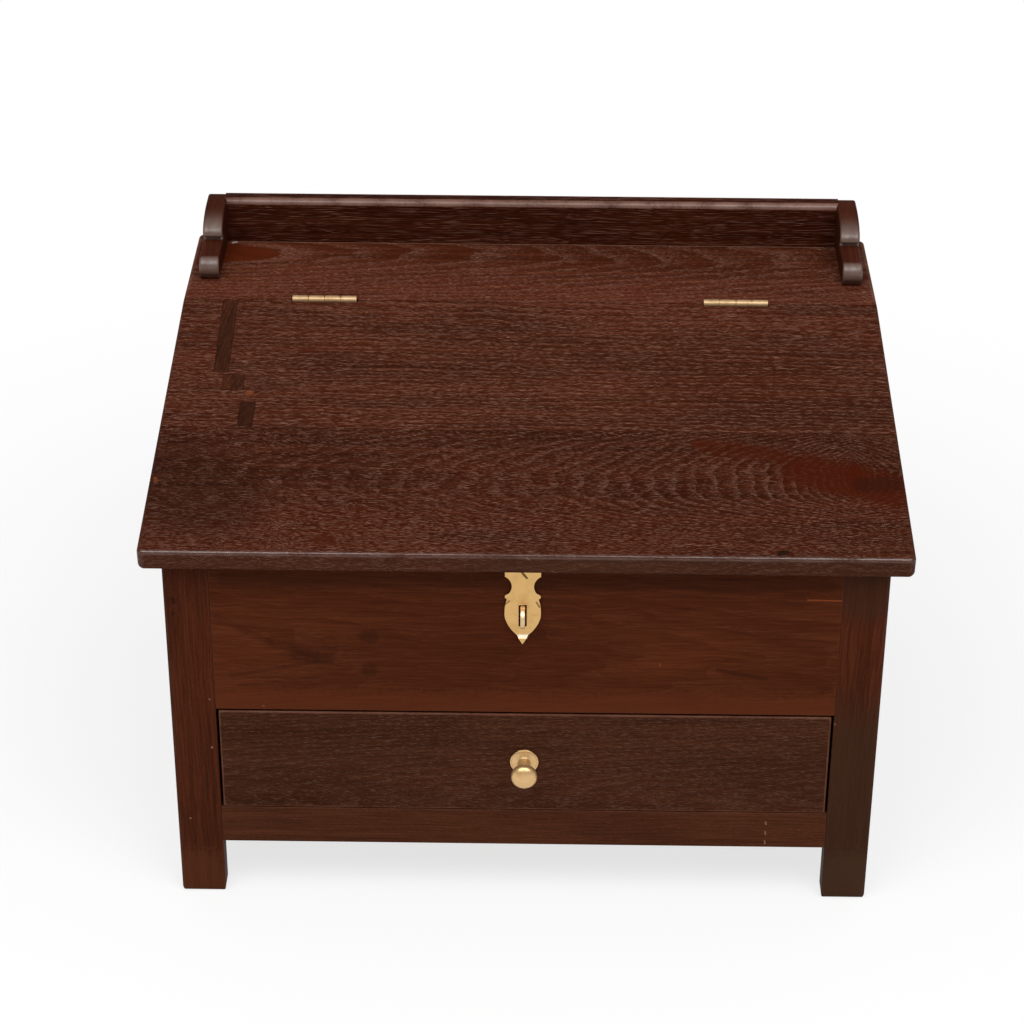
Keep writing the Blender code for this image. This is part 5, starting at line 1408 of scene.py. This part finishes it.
def smooth_small_brass():
    """Hinges, pins and screws keep their solids' shapes, merged and shaded smooth."""
    for side in SIDES:
        smoothed(f"hinge_leaf_ledge_{side}", HINGE_BRASS, "carcass")
        smoothed(f"hinge_leaf_lid_{side}", HINGE_BRASS, "lid")
        smoothed(f"screw_hasp_{side}", SATIN_BRASS, "lid")
        for place in ("outer", "inner"):
            smoothed(f"screw_ledge_{side}_{place}", HINGE_BRASS, "carcass")
            smoothed(f"screw_lid_{side}_{place}", HINGE_BRASS, "lid")
    smoothed("hasp_leaf", SATIN_BRASS, "lid")
    smoothed("hasp_pin", SATIN_BRASS, "lid")
    smoothed("knob_screw", KNOB_BRASS, "drawer")
    for side in SIDES:
        smoothed(f"hinge_pin_{side}", HINGE_BRASS, "carcass")


def stain_hidden_boards():
    """Boards whose solids are right as they are get their wood."""
    finishes = (
        (FRONT_WOOD, ["back_panel"]),
        (SIDE_WOOD, [f"side_panel_{side}" for side in SIDES]),
        (FLOOR_WOOD, ["compartment_floor", "drawer_bottom", "drawer_back"]),
        (PATCH_WOOD, ["lid_patch_long", "lid_patch_square", "lid_patch_short"]),
        (INNER_WOOD, [f"drawer_{board}_{side}" for board in ("runner", "guide", "side") for side in SIDES]),
    )
    for finish, names in finishes:
        for name in names:
            NODES[name].data.materials.clear()
            NODES[name].data.materials.append(finish)


# Studio


def lay_floor():
    """A pale floor that keeps the desk's shadow, and is plain white away from it to eye and reflections."""
    mesh = bpy.data.meshes.new("floor")
    corners = rectangle(-FLOOR_HALF, -FLOOR_HALF, FLOOR_HALF, FLOOR_HALF)
    mesh.from_pydata(np.column_stack((corners, np.zeros(4))).tolist(), [], [(0, 1, 2, 3)])
    floor = bpy.data.objects.new("floor", mesh)
    bpy.context.scene.collection.objects.link(floor)
    material, t, shader = new_finish("pale floor")
    shader.inputs["Base Color"].default_value = FLOOR_TONE
    shader.inputs["Roughness"].default_value = FLOOR_ROUGHNESS
    shader.inputs["Specular IOR Level"].default_value = 0.0
    share = t.fade(t.vectors("LENGTH", t.where()), *FLOOR_CLEAR, FLOOR_WHITE, 1.0)
    path = t.add("LightPath").outputs
    seen = t.most(path["Is Camera Ray"], t.most(path["Is Glossy Ray"], path["Is Transmission Ray"]))
    white = t.add("Emission", Strength=1.0)
    white.inputs["Color"].default_value = WHITE
    mixed = t.add("MixShader")
    for socket, value in zip(mixed.inputs, (t.times(share, seen), shader.outputs[0], white.outputs[0])):
        t.feed(socket, value)
    t.give(t.tree.nodes["Material Output"].inputs, Surface=mixed.outputs[0])
    mesh.materials.append(material)


def hang_lights():
    """Two wide soft boxes above the camera, and a world that is soft as light and white as a backdrop.

    As light the world is bright low down and overhead. It is white to the eye, and in reflections near the
    horizon.
    """
    for side, hand in zip(SIDES, (-1, 1)):
        light = bpy.data.lights.new(f"{side}_softbox", "AREA")
        light.shape = "RECTANGLE"
        light.size, light.size_y = SOFTBOX_SIZE
        light.energy = SOFTBOX_ENERGY
        lamp = bpy.data.objects.new(f"{side}_softbox", light)
        lamp.location = (hand * SOFTBOX_PLACE[0], *SOFTBOX_PLACE[1:])
        lamp.rotation_euler = (SOFTBOX_AIM - lamp.location).to_track_quat("-Z", "Y").to_euler()
        bpy.context.scene.collection.objects.link(lamp)
    world = bpy.data.worlds.new("studio")
    bpy.context.scene.world = world
    world.use_nodes = True
    t = Nodes(world.node_tree)
    background = world.node_tree.nodes["Background"]
    height = t.parts(t.add("TexCoord").outputs["Generated"])["Z"]
    soft = t.sums("ADD", t.fade(height, *LOW_GLOW), t.fade(height, *HIGH_GLOW))
    path = t.add("LightPath").outputs
    mirrored = t.most(path["Is Glossy Ray"], path["Is Transmission Ray"])
    low_white = t.times(mirrored, t.fade(height, *HORIZON, 1.0, 0.0))
    t.give(background.inputs, Strength=t.most(soft, t.most(path["Is Camera Ray"], low_white)))
    background.inputs["Color"].default_value = WHITE


def place_camera():
    """A camera with the photograph's focal length, its axes pitched down, rolled, then turned about Z."""
    right = Vector((1, 0, 0))
    ahead = Vector((0, math.cos(CAMERA_PITCH), -math.sin(CAMERA_PITCH)))
    above = Vector((0, math.sin(CAMERA_PITCH), math.cos(CAMERA_PITCH)))
    across = math.cos(CAMERA_ROLL) * right + math.sin(CAMERA_ROLL) * above
    upward = math.cos(CAMERA_ROLL) * above - math.sin(CAMERA_ROLL) * right
    turn = Matrix.Rotation(CAMERA_YAW, 3, "Z")
    axes = Matrix((turn @ across, turn @ upward, turn @ -ahead)).transposed()
    lens = bpy.data.cameras.new("camera")
    lens.sensor_width = SENSOR
    lens.lens = FOCAL_PIXELS / FRAME_PIXELS * SENSOR
    camera = bpy.data.objects.new("camera", lens)
    camera.matrix_world = Matrix.Translation(CAMERA_PLACE) @ axes.to_4x4()
    bpy.context.scene.collection.objects.link(camera)
    bpy.context.scene.camera = camera


bpy.context.scene.view_settings.view_transform = "Standard"
place_camera()
hang_lights()
lay_floor()
lay_lid()
lay_ledge()
raise_gallery()
stand_legs()
fit_front()
hang_hasp()
drive_staple()
screw_knob()
smooth_small_brass()
stain_hidden_boards()
bpy.context.view_layer.update()
